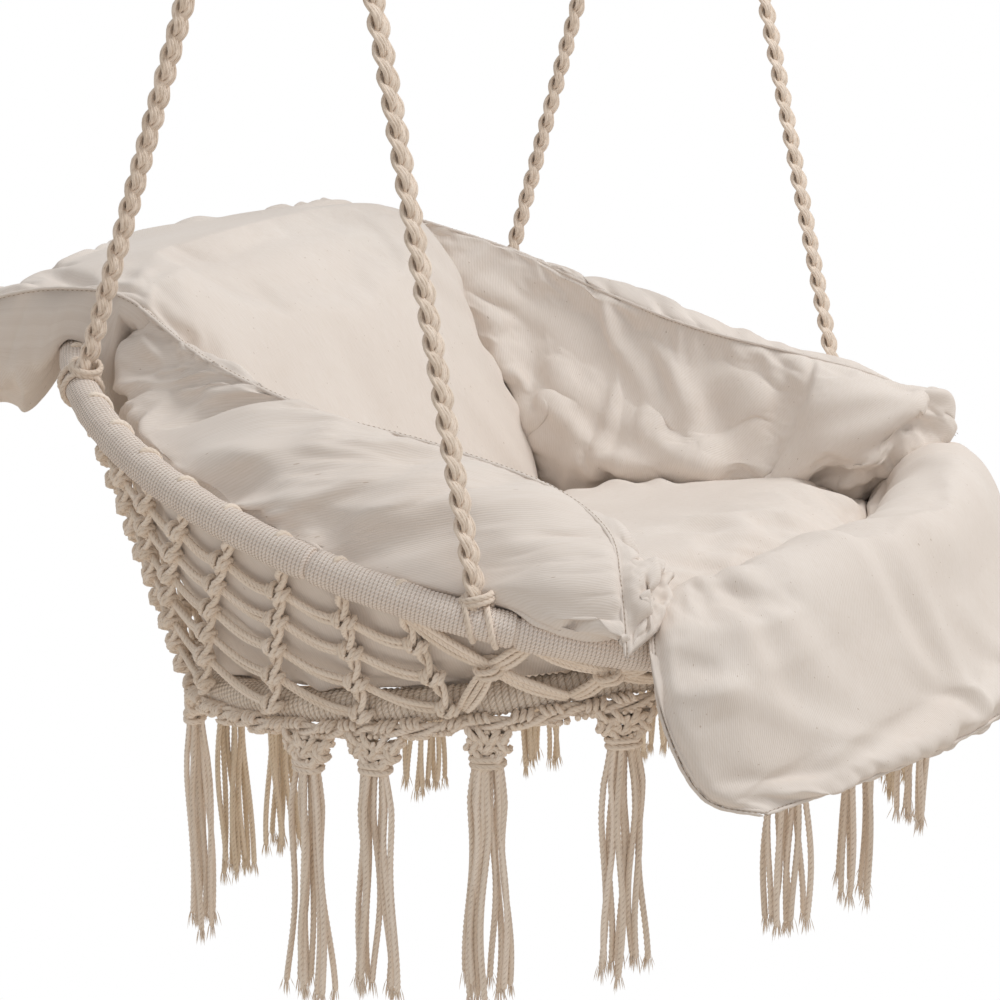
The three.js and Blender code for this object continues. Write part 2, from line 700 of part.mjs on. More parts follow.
const backLeftShares = [
  [0.53, 0.26, 0.06], [0.54, 0.45, 0.36], [0.585, 0.69, 0.7], [0.61, 0.86, 0.72],
  [0.66, 1.02, 0.71], [0.68, 1.13, 0.67],
];
const frontEdgeShares = [
  [-0.75, -0.85, -0.06], [-0.4, -1, -0.07], [0, -1.055, -0.08], [0.4, -1, -0.07], [0.75, -0.85, -0.06],
];
const frontSideShares = [
  [0.62, -0.5, 0.15], [0.67, -0.57, 0.23], [0.74, -0.62, 0.22], [0.78, -0.67, 0.11], [0.78, -0.76, -0.02],
  [0.75, -0.85, -0.06],
];

function edgeLine(shares, mirror = 1) {
  const reach = armRing.radius;
  const points = shares.map(([across, back, up]) => {
    const centre = seatRing.centre;
    return vector(mirror * across * reach, centre.y + back * reach, centre.z + up * reach);
  });
  return new THREE.CatmullRomCurve3(points);
}

// A surface between four edges, where low and high run across, left and right along
function patch(low, high, left, right) {
  return (u, v) => {
    const ruledAlong = low.getPoint(u).lerp(high.getPoint(u), v);
    const ruledAcross = left.getPoint(v).lerp(right.getPoint(v), u);
    const lowCorners = low.getPoint(0).lerp(low.getPoint(1), u);
    const highCorners = high.getPoint(0).lerp(high.getPoint(1), u);
    return ruledAlong.add(ruledAcross).sub(lowCorners.lerp(highCorners, v));
  };
}

function fullness(share) {
  const roundness = 2.6;
  const edgeSoftness = 0.8;
  return (1 - Math.abs(2 * share - 1) ** roundness) ** edgeSoftness;
}

// A filled panel: two skins that meet in a sharp seam all round
function panel(surface, upperSkin, lowerSkin) {
  const across = CUSHION_CELLS_ACROSS;
  const along = CUSHION_CELLS_ALONG;
  const width = surface(0, HALF).distanceTo(surface(1, HALF));
  const height = surface(HALF, 0).distanceTo(surface(HALF, 1));
  const gapU = SEAM_GAP / 2 / width;
  const gapV = SEAM_GAP / 2 / height;
  const step = 0.01;
  const points = [];
  const indexOf = new Map();
  const add = (i, j, skin) => {
    const edge = i === 0 || j === 0 || i === across || j === along;
    const key = edge ? `${i} ${j}` : `${i} ${j} ${skin.name}`;
    if (!indexOf.has(key)) {
      const u = gapU + ((1 - 2 * gapU) * i) / across;
      const v = gapV + ((1 - 2 * gapV) * j) / along;
      const middle = surface(u, v);
      const alongU = surface(Math.min(u + step, 1), v).sub(surface(Math.max(u - step, 0), v));
      const alongV = surface(u, Math.min(v + step, 1)).sub(surface(u, Math.max(v - step, 0)));
      const normal = alongU.cross(alongV).normalize();
      indexOf.set(key, points.length);
      points.push(edge ? middle : skin.place(middle, normal, u, v));
    }
    return indexOf.get(key);
  };
  const triangles = [];
  const upper = { name: 'upper', place: upperSkin };
  const lower = { name: 'lower', place: lowerSkin };
  for (let i = 0; i < across; i += 1) {
    for (let j = 0; j < along; j += 1) {
      for (const skin of [upper, lower]) {
        const corners = [add(i, j, skin), add(i + 1, j, skin), add(i + 1, j + 1, skin), add(i, j + 1, skin)];
        if (skin === lower) corners.reverse();
        const [a, b, c, d] = corners;
        triangles.push([a, b, c], [a, c, d]);
      }
    }
  }
  return meshFromTriangles(points, triangles);
}

// A skin that swells from its seams to the given height, which is less than zero below
function domed(height) {
  return (middle, normal, u, v) => offset(middle, [normal, height * fullness(u) * fullness(v)]);
}

// The top of the seat net under a point of the seat cushion
function netHeightUnder(point) {
  const flat = point.clone().sub(seatRing.centre);
  const radius = Math.min(Math.hypot(flat.x, flat.y), seatNetRadius);
  const sag = SEAT_NET_SAG * (1 - (radius / seatNetRadius) ** 2);
  const plane = (flat.y * seatRing.backward.z) / seatRing.backward.y;
  return seatRing.centre.z + plane - sag + NET_CORD / 2 + SEAT_NET_CLEARANCE;
}

function restOnNet(point) {
  return vector(point.x, point.y, Math.max(point.z, netHeightUnder(point)));
}

// Moves a point of a cushion out of a wound ring, to the nearest free place
function clearOfRing(point, ring) {
  const flat = point.clone().sub(ring.centre);
  const height = flat.dot(ring.up);
  const inPlane = offset(flat, [ring.up, -height]);
  const nearest = offset(ring.centre, [inPlane.clone().normalize(), ring.radius]);
  const away = point.clone().sub(nearest);
  const least = wrapRadius + CUSHION_CLEARANCE;
  return away.length() < least ? offset(nearest, [away.normalize(), least]) : point;
}

// Keeps a point of a cushion inside the side net
function insideNet(point) {
  const centre = seatRing.centre.clone().lerp(armRing.centre, HALF);
  const angle = THREE.MathUtils.radToDeg(Math.atan2(point.x, point.y - centre.y));
  const high = armRing.point(angle);
  const low = seatRing.point(angle, wrapRadius);
  const share = (high.z - point.z) / (high.z - low.z);
  if (share < 0 || share > 1) return point;
  const net = high.lerp(low, share);
  const reach = Math.hypot(net.x - centre.x, net.y - centre.y) - CUSHION_CLEARANCE - NET_CORD;
  const flat = vector(point.x - centre.x, point.y - centre.y, 0);
  const excess = Math.max(flat.length() - reach, 0);
  return offset(point, [flat.normalize(), -excess]);
}

function overRings(point) {
  return clearOfRing(clearOfRing(point, armRing), seatRing);
}

function besideNet(point) {
  return overRings(insideNet(point));
}

function addSeatCushion() {
  const surface = patch(
    edgeLine(seatBackShares),
    edgeLine(seatFrontShares),
    edgeLine(seatSideShares, -1),
    edgeLine(seatSideShares),
  );
  const turned = (u, v) => surface(1 - u, v);
  const belly = domed(-SEAT_BELLY);
  const underside = (...place) => restOnNet(belly(...place));
  addPiece('cushion_seat', panel(turned, domed(SEAT_CROWN), underside), TWILL);
}

// The back leans over the arm ring, and dips between its two ears
function addBackCushion() {
  const surface = patch(
    edgeLine(seatBackShares),
    edgeLine(backTopShares),
    edgeLine(backRightShares, -1),
    edgeLine(backLeftShares),
  );
  const dip = (u, v) => BACK_DIP * fullness(u) * Math.sin(Math.PI * v * v);
  const crown = domed(BACK_CROWN);
  const face = (middle, normal, u, v) => offset(crown(middle, normal, u, v), [normal, -dip(u, v)]);
  const lowFullness = 0.36;
  const rear = (middle, normal, u, v) => {
    const belly = BACK_BELLY * fullness(u) * Math.sin(Math.PI * v ** lowFullness);
    return besideNet(offset(middle, [normal, -belly]));
  };
  addPiece('cushion_back', panel(surface, face, rear), TWILL);
}

// An arm's outer skin runs from its low seam out to the arm ring, and back in to its top seam
function addArmCushion(side, sign) {
  const low = edgeLine(seatSideShares, sign);
  const high = edgeLine(armTopShares, sign);
  const surface = patch(low, high, edgeLine(armBackShares, sign), edgeLine(armFrontShares, sign));
  const beside = -(wrapRadius + CUSHION_CLEARANCE);
  const cornerSharpness = 0.4;
  const outer = (middle, normal, u, v) => {
    const angle = ARM_BACK_ANGLE + (ARM_FRONT_ANGLE - ARM_BACK_ANGLE) * u;
    const contact = armRing.point(sign * angle, beside);
    const bulge = new THREE.QuadraticBezierCurve3(
      low.getPoint(u),
      contact.multiplyScalar(2).sub(low.getPoint(u).lerp(high.getPoint(u), HALF)),
      high.getPoint(u),
    );
    return besideNet(middle.lerp(bulge.getPoint(v), fullness(u) ** cornerSharpness));
  };
  const inner = domed(sign * ARM_CROWN);
  const skins = sign > 0 ? [inner, outer] : [outer, inner];
  addPiece(`cushion_arm_${side}`, panel(surface, ...skins), TWILL);
}

// The front flap rises over both rings before it hangs down
function addFrontCushion() {
  const surface = patch(
    edgeLine(seatFrontShares),
    edgeLine(frontEdgeShares),
    edgeLine(frontSideShares, -1),
    edgeLine(frontSideShares),
  );
  const turned = (u, v) => surface(1 - u, v);
  const skin = (height) => {
    const swell = domed(height);
    return (middle, normal, u, v) => {
      const lift = FRONT_LIFT * Math.sqrt(fullness(u)) * Math.sin(Math.PI * v);
      return overRings(offset(swell(middle, normal, u, v), [normal, lift]));
    };
  };
  addPiece('cushion_front', panel(turned, skin(FRONT_CROWN), skin(-FRONT_BELLY)), TWILL);
}

const sides = [['left', 1, ROPE_BACK_LEFT_ANGLE], ['right', -1, ROPE_BACK_RIGHT_ANGLE]];
for (const [side, sign, backAngle] of sides) {
  const x = (sign * HANG_SPACING) / 2;
  addCarabiner(x, -sign, side);
  addHangRing(x, side);
  addRopes(sign, side, backAngle);
}
addRingTube('arm_ring_tube', armRing, 0);
addRingTube('seat_ring_tube', seatRing, 0);
addRingWrap('arm_ring_wrap', armRing, [0, 120, 240]);
addRingWrap('seat_ring_wrap', seatRing, [0, 120, 240]);
addSideNet();
addSeatNet();
addHem();
addTassels();
addSeatCushion();
addBackCushion();
addArmCushion('left', 1);
addArmCushion('right', -1);
addFrontCushion();

export default chair;
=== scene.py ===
"""Looks of a double-ring macrame hammock chair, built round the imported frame, in metres.

+Z is up, the sitter faces -Y, and the sitter's left hand is at +X.
"""
import math

import bpy
import numpy as np
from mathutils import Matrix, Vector


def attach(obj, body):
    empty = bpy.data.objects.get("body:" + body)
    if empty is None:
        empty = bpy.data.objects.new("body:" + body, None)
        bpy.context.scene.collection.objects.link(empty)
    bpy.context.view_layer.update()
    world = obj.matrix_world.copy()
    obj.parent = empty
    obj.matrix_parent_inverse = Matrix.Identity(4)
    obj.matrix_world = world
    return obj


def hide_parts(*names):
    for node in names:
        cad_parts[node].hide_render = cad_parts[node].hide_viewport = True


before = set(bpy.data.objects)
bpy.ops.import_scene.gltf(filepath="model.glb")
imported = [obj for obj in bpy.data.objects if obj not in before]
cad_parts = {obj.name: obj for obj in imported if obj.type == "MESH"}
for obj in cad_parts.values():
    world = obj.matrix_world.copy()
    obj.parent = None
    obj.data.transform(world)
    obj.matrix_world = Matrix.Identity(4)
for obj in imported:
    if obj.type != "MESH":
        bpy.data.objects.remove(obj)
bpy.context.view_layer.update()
rng = np.random.default_rng(11)

CAMERA_PLACE = (-2.1266, -1.13795, -0.11299)
CAMERA_AIM = (0.07364, 0.05393, -0.81895)
CAMERA_LENS = 106.58
CAMERA_SENSOR = 36
CAMERA_REACH = 50

# Rings, as in the source of the part
SEAT_RING_CENTRE = (0, -0.038, -0.8775)
SEAT_RING_RADIUS = 0.2985
SEAT_RING_TILT = -10.3
ARM_RING_CENTRE = (0, -0.00896, -0.73748)
ARM_RING_RADIUS = 0.3785
ARM_RING_TILT = 15.5
WRAP_RADIUS = 0.0135
FINE_TURN = 0.0031
FINE_GROOVE = 0.0009
COARSE_TURN = 0.0052
COARSE_GROOVE = 0.002
WIND_RIPPLE = 0.00025
WIND_SWELL = 0.0002
JOINT_WIDTH = 0.3
JOINT_DEPTH = 0.003
ARM_JOINTS = (120, 242, 266)
SEAT_JOINTS = (0, 120, 240)

# Steel bars
STEEL_RADIUS = 0.0044
LUG_RADIUS = 0.0018
LUG_HEIGHT = 0.0088
CARABINER_BEND = 0.012
CARABINER_TOP = -0.0075
CARABINER_LOW = -0.0475
NOSE = 0.0009
STEEL_STEP = 0.001
LUG_STEP = 0.0006

# Ropes
HALF_SPACING = 0.317
HANG_RING_HEIGHT = -0.0865
HANG_RING_RADIUS = 0.032
HANG_WIRE_RADIUS = 0.0045
EYE_ANGLE = 32
EYE_CLEARANCE = 0.002
EYE_SHOULDER = 0.015
EYE_NECK = 0.03
LEG_JOIN = 0.07
LEG_END = 0.074
LEGS_MEET = 0.16
FOOT_RUN = 0.06
ROPE_FEET = {"back_left": 58, "back_right": -45, "front_left": 114, "front_right": -114}
BRAID_RADIUS = 0.009
BRAID_PITCH = 0.057
BRAID_SWAY = 0.006
BRAID_LIFT = 0.0029
BRAID_STEP = 0.003
BRAID_CORD_RADIUS = 0.0018
BRAID_CORD_SPACING = 0.0024
BRAID_CORD_LIFT = 0.0012
BRAID_CORD_PITCH = 0.009
BRAID_CORD_STEP = 0.0026
CORD_RADIUS = 0.0026
CORD_PITCH = 0.014
CORD_STEP = 0.0023
PLY_VALLEY_SHARE = 0.72
PLY_CREST_SHARE = 0.3
END_SHARES = (0.05, 0.85)
WHIPPING_DROP = 0.05
WHIPPING_CORD_RADIUS = 0.0015
WHIPPING_END = 0.0205
HITCH_SHIFT = 0.0085
HITCH_CLEARANCE = 0.0022
COLLAR_HEIGHT = 0.004
COLLAR_LOOP_DROP = 0.002

# Net. Each row leans by a share of a column, and where the rings come close its strands cross
NET_COLUMNS = 48
COLUMN_ANGLE = 360 / NET_COLUMNS
NET_ROWS = 10
NET_ROW = 0.036
NET_LEAN = 0.7
NET_LAP = 0.003
CROSSED_FROM = 108
LEAN_FADE = 30
CROSSED_BELOW = 0.095
NET_TOP_CLEARANCE = 0.001
PAIR_RADIUS = 0.0029
CORD_WOBBLE = 0.0006
ROW_SPREAD = 0.0056
ROW_SAG = 0.0085
ROW_BULGE = 0.001
TIE_LIFT = 0.0015
TIE_SHIFT = 0.004
CROSSED_SPREAD = 0.0054
CROSSED_BULGE = 0.004
SQUARE_SHIFT = 0.0035
SQUARE_LIFT = 0.002
SQUARE_STRETCH = 0.003
WEB_HUB = 0.04
WEB_SAG = 0.042
WEB_LAP = 0.001
WEB_DIP = 0.006
WEB_STEP = 0.004
WEB_CLEARANCE = 0.0042

# Hem
HEM_REACH = 0.0131
HEM_CORD_RADIUS = 0.0029
HEM_SWAY = 0.003
HEM_RISE = 0.0035
SCALLOP = 0.0045
LASHING_OUT = 0.0005
LASHING_DROP = 0.002
LASHING_SHIFT = 0.0055

# Tassels hang at these ring angles
TASSEL_ANGLES = [6, 38, 59, 80, 100, 119, 140, 159, 191, 207, 233, 252, 269, 281, 326, 352]
TASSEL_LENGTH = 0.236
TASSEL_DROP = 0.006
TASSEL_NECK = 0.021
TASSEL_STRANDS = 9
CLUSTER_LENGTH = 0.038
CLUSTER_WIDE = 0.026
CLUSTER_NARROW = 0.018
CLUSTER_NECK = 0.0125
CLUSTER_ROW = 0.0075
CLUSTER_CORD_RADIUS = 0.003
CLUSTER_TIE_CORD_RADIUS = 0.0027
CLUSTER_START = 0.001
CLUSTER_SAG = 0.008
CLUSTER_DEPTH = 0.0045
CLUSTER_WAVE = 0.0016
CLUSTER_TIE_DROP = 0.005
CLUSTER_BAND_DROP = 0.026
CLUSTER_BAND_STRETCH = 0.002
BUNDLE_ACROSS = (0.0095, 0.0105)
BUNDLE_OUT = (0.007, 0.007)
STRAND_DRIFT = 0.004
STRAND_WAVE = 0.0026
FIBRE_SPREAD = 0.0022
FIBRE_LENGTHS = (0.005, 0.012)
FIBRE_ROOT = 0.005
FIBRE_MIDDLE = 0.001
FIBRE_RADIUS = 0.00045
FIBRE_STEP = 0.005

# Coils of cord: their radius, their turns and how far they rise
WHIPPING_COIL = (0.0108, 14, 0.04)
WHIPPING_END_COIL = (0.0082, 1.1, 0.001)
HITCH_COIL = (WRAP_RADIUS + HITCH_CLEARANCE, 1.15, 0.004)
COLLAR_COIL = (0.0115, 2.2, 0.008)
COLLAR_LOOP_COIL = (0.0095, 1.2, 0.006)
NET_TOP_COIL = (WRAP_RADIUS + NET_TOP_CLEARANCE, 0.55, 0.004)
TIE_COIL = (0.0055, 1.3, 0.005)
TIE_LOOP_COIL = (0.0048, 1.1, 0.004)
SQUARE_COIL = (0.0068, 1.3, 0.003)
LASHING_COIL = (0.0072, 0.9, 0.004)
CLUSTER_TIE_COIL = (0.0066, 1.4, 0.007)
CLUSTER_BAND_COIL = (0.0105, 1.6, 0.008)

# Cushion: how full each panel is, and what it keeps clear of
CLEARANCE = 0.002
NET_CLEARANCE = 0.004
SEAT_CROWN = 0.034
SEAT_BELLY = 0.056
BACK_CROWN = 0.03
BACK_DIP = 0.028
BACK_BELLY = 0.084
EAR_INSIDE = 0.07
EAR_CLEARANCE = 0.003
EAR_STARTS = 0.004
EAR_RUN = 0.016
EAR_OUT = 0.01
EAR_OVERLAP = 0.012
OVERHANG = 0.034
EAR_DROP = 0.074
PLEAT_DEPTH = 0.008
ARM_CROWN = 0.034
ARM_LOBE_HEIGHT = {"left": 0.03, "right": 0.003}
ARM_CONTACT_OUT = -0.011
ARM_CONTACT_ABOVE = 0.0125
ARM_OVER_OUT = 0.03
ARM_OVER_ABOVE = 0.004
ARM_FOOT_OUT = -0.017
ARM_FOOT_ABOVE = 0.002
FLAP_LIFT = 0.02
FLAP_CROWN = 0.014
FLAP_BELLY = 0.022
FOLD_HEIGHT = 0.0051
FOLD_LENGTHS = (0.06, 0.2)
FOLD_WIDTHS = (0.006, 0.012)

# Creases of the near arm fan out from an angle on the arm ring, this far out from it and above it
ARM_CREASES = ((-54, -0.035, 0.03), (-88, -0.03, 0.03))
CREASE_COUNT = 9
CREASE_REACH = 0.13
CREASE_HEIGHT = 0.0065

# Cloth: how hard it is blown, its slack as a share, the furthest it may move and its folds
CLOTH_SWELL = {
    "cushion_seat": (3, 0.04, 0.014, 34),
    "cushion_back": (3.5, 0.06, 0.009, 34),
    "cushion_arm_left": (4, 0.08, 0.022, 46),
    "cushion_arm_right": (4, 0.08, 0.022, 60),
    "cushion_front": (4, 0.06, 0.012, 40),
}
CLOTH_FRAMES = 16
CLOTH_SETTINGS = {
    "quality": 6,
    "mass": 0.25,
    "tension_stiffness": 18,
    "compression_stiffness": 12,
    "shear_stiffness": 6,
    "bending_stiffness": 0.35,
    "use_pressure": True,
    "vertex_group_mass": "seam",
}

# Cushion edges, close to those of the solids, in shares of the arm ring's radius
BACK_CORNER_SHARES = (0.53, 0.26, 0.06)
BACK_BEND_SHARES = (0.54, 0.45, 0.36)
ARM_REAR_SHARES = (0.585, 0.69, 0.715)
FRONT_CORNER_SHARES = (0.62, -0.5, 0.15)
SEAT_BACK_SHARES = [(-0.53, 0.26, 0.06), (0, 0.24, 0.05), BACK_CORNER_SHARES]
SEAT_FRONT_SHARES = [
    (-0.62, -0.5, 0.15), (-0.4, -0.56, 0.18), (0, -0.66, 0.18), (0.4, -0.58, 0.16), FRONT_CORNER_SHARES,
]
SEAT_SIDE_SHARES = [BACK_CORNER_SHARES, (0.58, -0.1, 0.08), FRONT_CORNER_SHARES]
ARM_BACK_SHARES = [BACK_CORNER_SHARES, BACK_BEND_SHARES, ARM_REAR_SHARES]
ARM_TOP_REAR_SHARES = [ARM_REAR_SHARES, (0.67, 0.46, 0.64), (0.665, 0.2, 0.56), (0.62, -0.06, 0.51)]
ARM_TOP_SHARES = {
    "left": ARM_TOP_REAR_SHARES
    + [(0.64, -0.32, 0.47), (0.69, -0.48, 0.43), (0.75, -0.58, 0.37), (0.75, -0.66, 0.3)],
    "right": ARM_TOP_REAR_SHARES
    + [(0.61, -0.32, 0.45), (0.68, -0.47, 0.4), (0.79, -0.55, 0.34), (0.86, -0.6, 0.22)],
}
ARM_FRONT_SHARES = {
    "left": [FRONT_CORNER_SHARES, (0.65, -0.6, 0.22), (0.69, -0.65, 0.26), (0.75, -0.66, 0.3)],
    "right": [FRONT_CORNER_SHARES, (0.68, -0.58, 0.23), (0.77, -0.62, 0.25), (0.86, -0.6, 0.22)],
}
BACK_TOP_SHARES = [(-0.69, 1.13, 0.66), (-0.3, 1.16, 0.675), (0.3, 1.16, 0.68), (0.68, 1.13, 0.67)]
BACK_SIDE_SHARES = {
    "left": [BACK_CORNER_SHARES, BACK_BEND_SHARES, (0.585, 0.69, 0.7)]
    + [(0.61, 0.86, 0.72), (0.66, 1.02, 0.71), (0.68, 1.13, 0.67)],
    "right": [BACK_CORNER_SHARES, BACK_BEND_SHARES, ARM_REAR_SHARES]
    + [(0.61, 0.86, 0.74), (0.66, 1.02, 0.71), (0.69, 1.13, 0.66)],
}
FRONT_EDGE_SHARES = [
    (-0.79, -0.86, -0.07), (-0.4, -1, -0.07), (0, -1.055, -0.08), (0.4, -1, -0.07), (0.75, -0.85, -0.06),
]
FRONT_SIDE_SHARES = {
    "left": [FRONT_CORNER_SHARES, (0.67, -0.57, 0.23), (0.74, -0.62, 0.22)]
    + [(0.78, -0.67, 0.11), (0.78, -0.76, -0.02), (0.75, -0.85, -0.06)],
    "right": [FRONT_CORNER_SHARES, (0.68, -0.57, 0.23), (0.78, -0.62, 0.22)]
    + [(0.84, -0.67, 0.1), (0.84, -0.76, -0.04), (0.79, -0.86, -0.07)],
}

# Seams: two folds of twill and a line of stitches
WELT_STEP = 0.004
WELT_SHIFT = 0.0013
WELT_RADIUS = 0.0015
STITCH_PITCH = 0.0042
STITCH_LENGTH = 0.0028
STITCH_LIFT = 0.0012
STITCH_RADIUS = 0.00035
STITCH_STEP = 0.0014

# Studio
WORLD_LIGHT = 0.53
KEY_POWER = 55
KEY_PLACE = (0.85, -1.55, 1.95)
KEY_AIM = (0, 0, -0.75)
FILL_POWER = 4
FILL_PLACE = (-2.6, -1.6, -0.6)
FILL_AIM = (0, 0, -0.9)
LAMP_SIZE = 1.6
FLOOR_HEIGHT = -2.1
FLOOR_REACH = 8

# Relief of the materials
FIBRE_RELIEF = 0.0006
FINE_FIBRE_RELIEF = 0.0004
PLY_RELIEF = 0.0009
TURN_RELIEF = 0.001
TWILL_RELIEF = 0.0004
DRAWN_RELIEF = 0.0002

SIDES = (("left", 1), ("right", -1))
DOWN = np.array((0, 0, -1.0))
TINY = 1e-9
SHORTEST_SPAN = 1e-5
FULL_TURN = 2 * math.pi


def unit(vectors):
    return vectors / np.maximum(np.linalg.norm(vectors, axis=-1, keepdims=True), TINY)


class Ring:
    """A flat circle tilted about X. Angle 0 is the back, 90 the sitter's left."""

    def __init__(self, centre, radius, tilt):
        self.centre = np.array(centre, float)
        self.radius = radius
        turn = math.radians(tilt)
        self.backward = np.array((0, math.cos(turn), math.sin(turn)))
        self.up = np.array((0, -math.sin(turn), math.cos(turn)))

    def outward(self, angle):
        turn = np.radians(np.asarray(angle, float))[..., None]
        return np.sin(turn) * np.array((1, 0, 0)) + np.cos(turn) * self.backward

    def along(self, angle):
        turn = np.radians(np.asarray(angle, float))[..., None]
        return np.cos(turn) * np.array((1, 0, 0)) - np.sin(turn) * self.backward

    def point(self, angle, out=0.0, above=0.0):
        out = np.asarray(out)[..., None]
        above = np.asarray(above)[..., None]
        return self.centre + self.outward(angle) * (self.radius + out) + self.up * above

    def split(self, points):
        """How high points are above the ring's plane, and their places in that plane."""
        flat = points - self.centre
        height = flat @ self.up
        return height, flat - height[..., None] * self.up


seat_ring = Ring(SEAT_RING_CENTRE, SEAT_RING_RADIUS, SEAT_RING_TILT)
arm_ring = Ring(ARM_RING_CENTRE, ARM_RING_RADIUS, ARM_RING_TILT)


# Materials
class Nodes:
    """The node tree of a material or the world, with short ways to add and link nodes."""

    def __init__(self, owner):
        owner.use_nodes = True
        self.owner = owner
        self.tree = owner.node_tree
        self.shader = self.tree.nodes.get("Principled BSDF")

    def add(self, kind, values=(), **settings):
        """A new node with its settings, and the values of its inputs."""
        node = self.tree.nodes.new(kind)
        for key, value in settings.items():
            setattr(node, key, value)
        for key, value in dict(values).items():
            node.inputs[key].default_value = value
        return node

    def link(self, source, target):
        self.tree.links.new(source, target)

    def noise(self, coordinates, scale, detail, roughness=0.6):
        node = self.add("ShaderNodeTexNoise", {"Scale": scale, "Detail": detail, "Roughness": roughness})
        self.link(coordinates, node.inputs["Vector"])
        return node.outputs["Fac"]

    def wave(self, coordinates, scale, distortion):
        values = {"Scale": scale, "Distortion": distortion}
        node = self.add("ShaderNodeTexWave", values, wave_type="BANDS", bands_direction="DIAGONAL")
        self.link(coordinates, node.inputs["Vector"])
        return node.outputs["Fac"]

    def mapped(self, coordinates, scale, turn=0.0):
        node = self.add("ShaderNodeMapping", {"Scale": scale, "Rotation": (0, 0, turn)})
        self.link(coordinates, node.inputs["Vector"])
        return node.outputs["Vector"]

    def ramp(self, factor, stops):
        node = self.add("ShaderNodeValToRGB")
        elements = node.color_ramp.elements
        for element, (share, colour) in zip(elements, stops):
            element.position = share
            element.color = (*colour, 1)
        self.link(factor, node.inputs["Fac"])
        return node.outputs["Color"]

    def multiply(self, strength, first, second):
        node = self.add("ShaderNodeMix", data_type="RGBA", blend_type="MULTIPLY")
        node.inputs["Factor"].default_value = strength
        self.link(first, node.inputs["A"])
        self.link(second, node.inputs["B"])
        return node.outputs["Result"]

    def bump(self, height, strength, distance, below=None):
        node = self.add("ShaderNodeBump", {"Strength": strength, "Distance": distance})
        self.link(height, node.inputs["Height"])
        if below is not None:
            self.link(below, node.inputs["Normal"])
        return node.outputs["Normal"]

    def split(self, vector):
        node = self.add("ShaderNodeSeparateXYZ")
        self.link(vector, node.inputs["Vector"])
        return node.outputs

    def object_coordinates(self):
        return self.add("ShaderNodeTexCoord").outputs["Object"]

    def uv_coordinates(self):
        return self.add("ShaderNodeTexCoord").outputs["UV"]

    def finish(self, colour, normal, roughness, sheen):
        self.link(colour, self.shader.inputs["Base Color"])
        self.link(normal, self.shader.inputs["Normal"])
        self.shader.inputs["Roughness"].default_value = roughness
        self.shader.inputs["Specular IOR Level"].default_value = 0.2
        self.shader.inputs["Sheen Weight"].default_value = sheen
        self.shader.inputs["Sheen Roughness"].default_value = 0.6
        return self.owner


def cotton_material(name, pale, deep):
    """Loose twisted cotton: soft mottling, fine fibres, painted shade in the grooves between plies and a
    dusty sheen.
    """
    nodes = Nodes(bpy.data.materials.new(name))
    spot = nodes.object_coordinates()
    mottling = nodes.noise(spot, 60, 4)
    fibres = nodes.noise(spot, 1400, 2, 0.7)
    colour = nodes.ramp(mottling, [(0.32, deep), (0.68, pale)])
    fleck = nodes.ramp(fibres, [(0.3, (0.8, 0.77, 0.73)), (0.6, (1, 1, 1))])
    colour = nodes.multiply(0.6, colour, fleck)
    # UV x is the ply crest: the groove ramp below paints shade into the valleys between plies.
    ply = nodes.split(nodes.uv_coordinates())
    groove = nodes.ramp(ply["X"], [(0.05, (0.58, 0.5, 0.43)), (0.55, (1, 1, 1))])
    colour = nodes.multiply(0.8, colour, groove)
    tone = nodes.ramp(ply["Y"], [(0.0, (0.88, 0.86, 0.83)), (1.0, (1, 1, 1))])
    colour = nodes.multiply(0.9, colour, tone)
    normal = nodes.bump(fibres, 0.35, FIBRE_RELIEF)
    return nodes.finish(colour, normal, 0.92, 0.25)


def wound_material(name, pale, deep, grain):
    """Fine cord wound close: each turn shows the slant of its own plies as small grains, with painted shade
    in the grains and in the grooves between turns.
    """
    nodes = Nodes(bpy.data.materials.new(name))
    uv = nodes.uv_coordinates()
    grains = nodes.wave(uv, grain, 0.4)
    crest = nodes.split(uv)["X"]
    for operation, value in (("MULTIPLY", math.pi), ("SINE", 0), ("ABSOLUTE", 0)):
        step = nodes.add("ShaderNodeMath", {1: value}, operation=operation)
        nodes.link(crest, step.inputs[0])
        crest = step.outputs[0]
    # Painted shade in the grooves between turns.
    groove = nodes.ramp(crest, [(0.05, (0.62, 0.55, 0.48)), (0.5, (1, 1, 1))])
    spot = nodes.object_coordinates()
    mottling = nodes.noise(spot, 45, 4)
    fibres = nodes.noise(spot, 1500, 2)
    colour = nodes.ramp(mottling, [(0.3, deep), (0.7, pale)])
    # Painted shade in the grains between the plies.
    shade = nodes.ramp(grains, [(0.0, (0.83, 0.79, 0.74)), (0.45, (1, 1, 1))])
    colour = nodes.multiply(0.7, colour, shade)
    colour = nodes.multiply(0.85, colour, groove)
    low = nodes.bump(grains, 0.7, PLY_RELIEF, nodes.bump(crest, 0.6, TURN_RELIEF))
    normal = nodes.bump(fibres, 0.25, FINE_FIBRE_RELIEF, low)
    return nodes.finish(colour, normal, 0.9, 0.2)


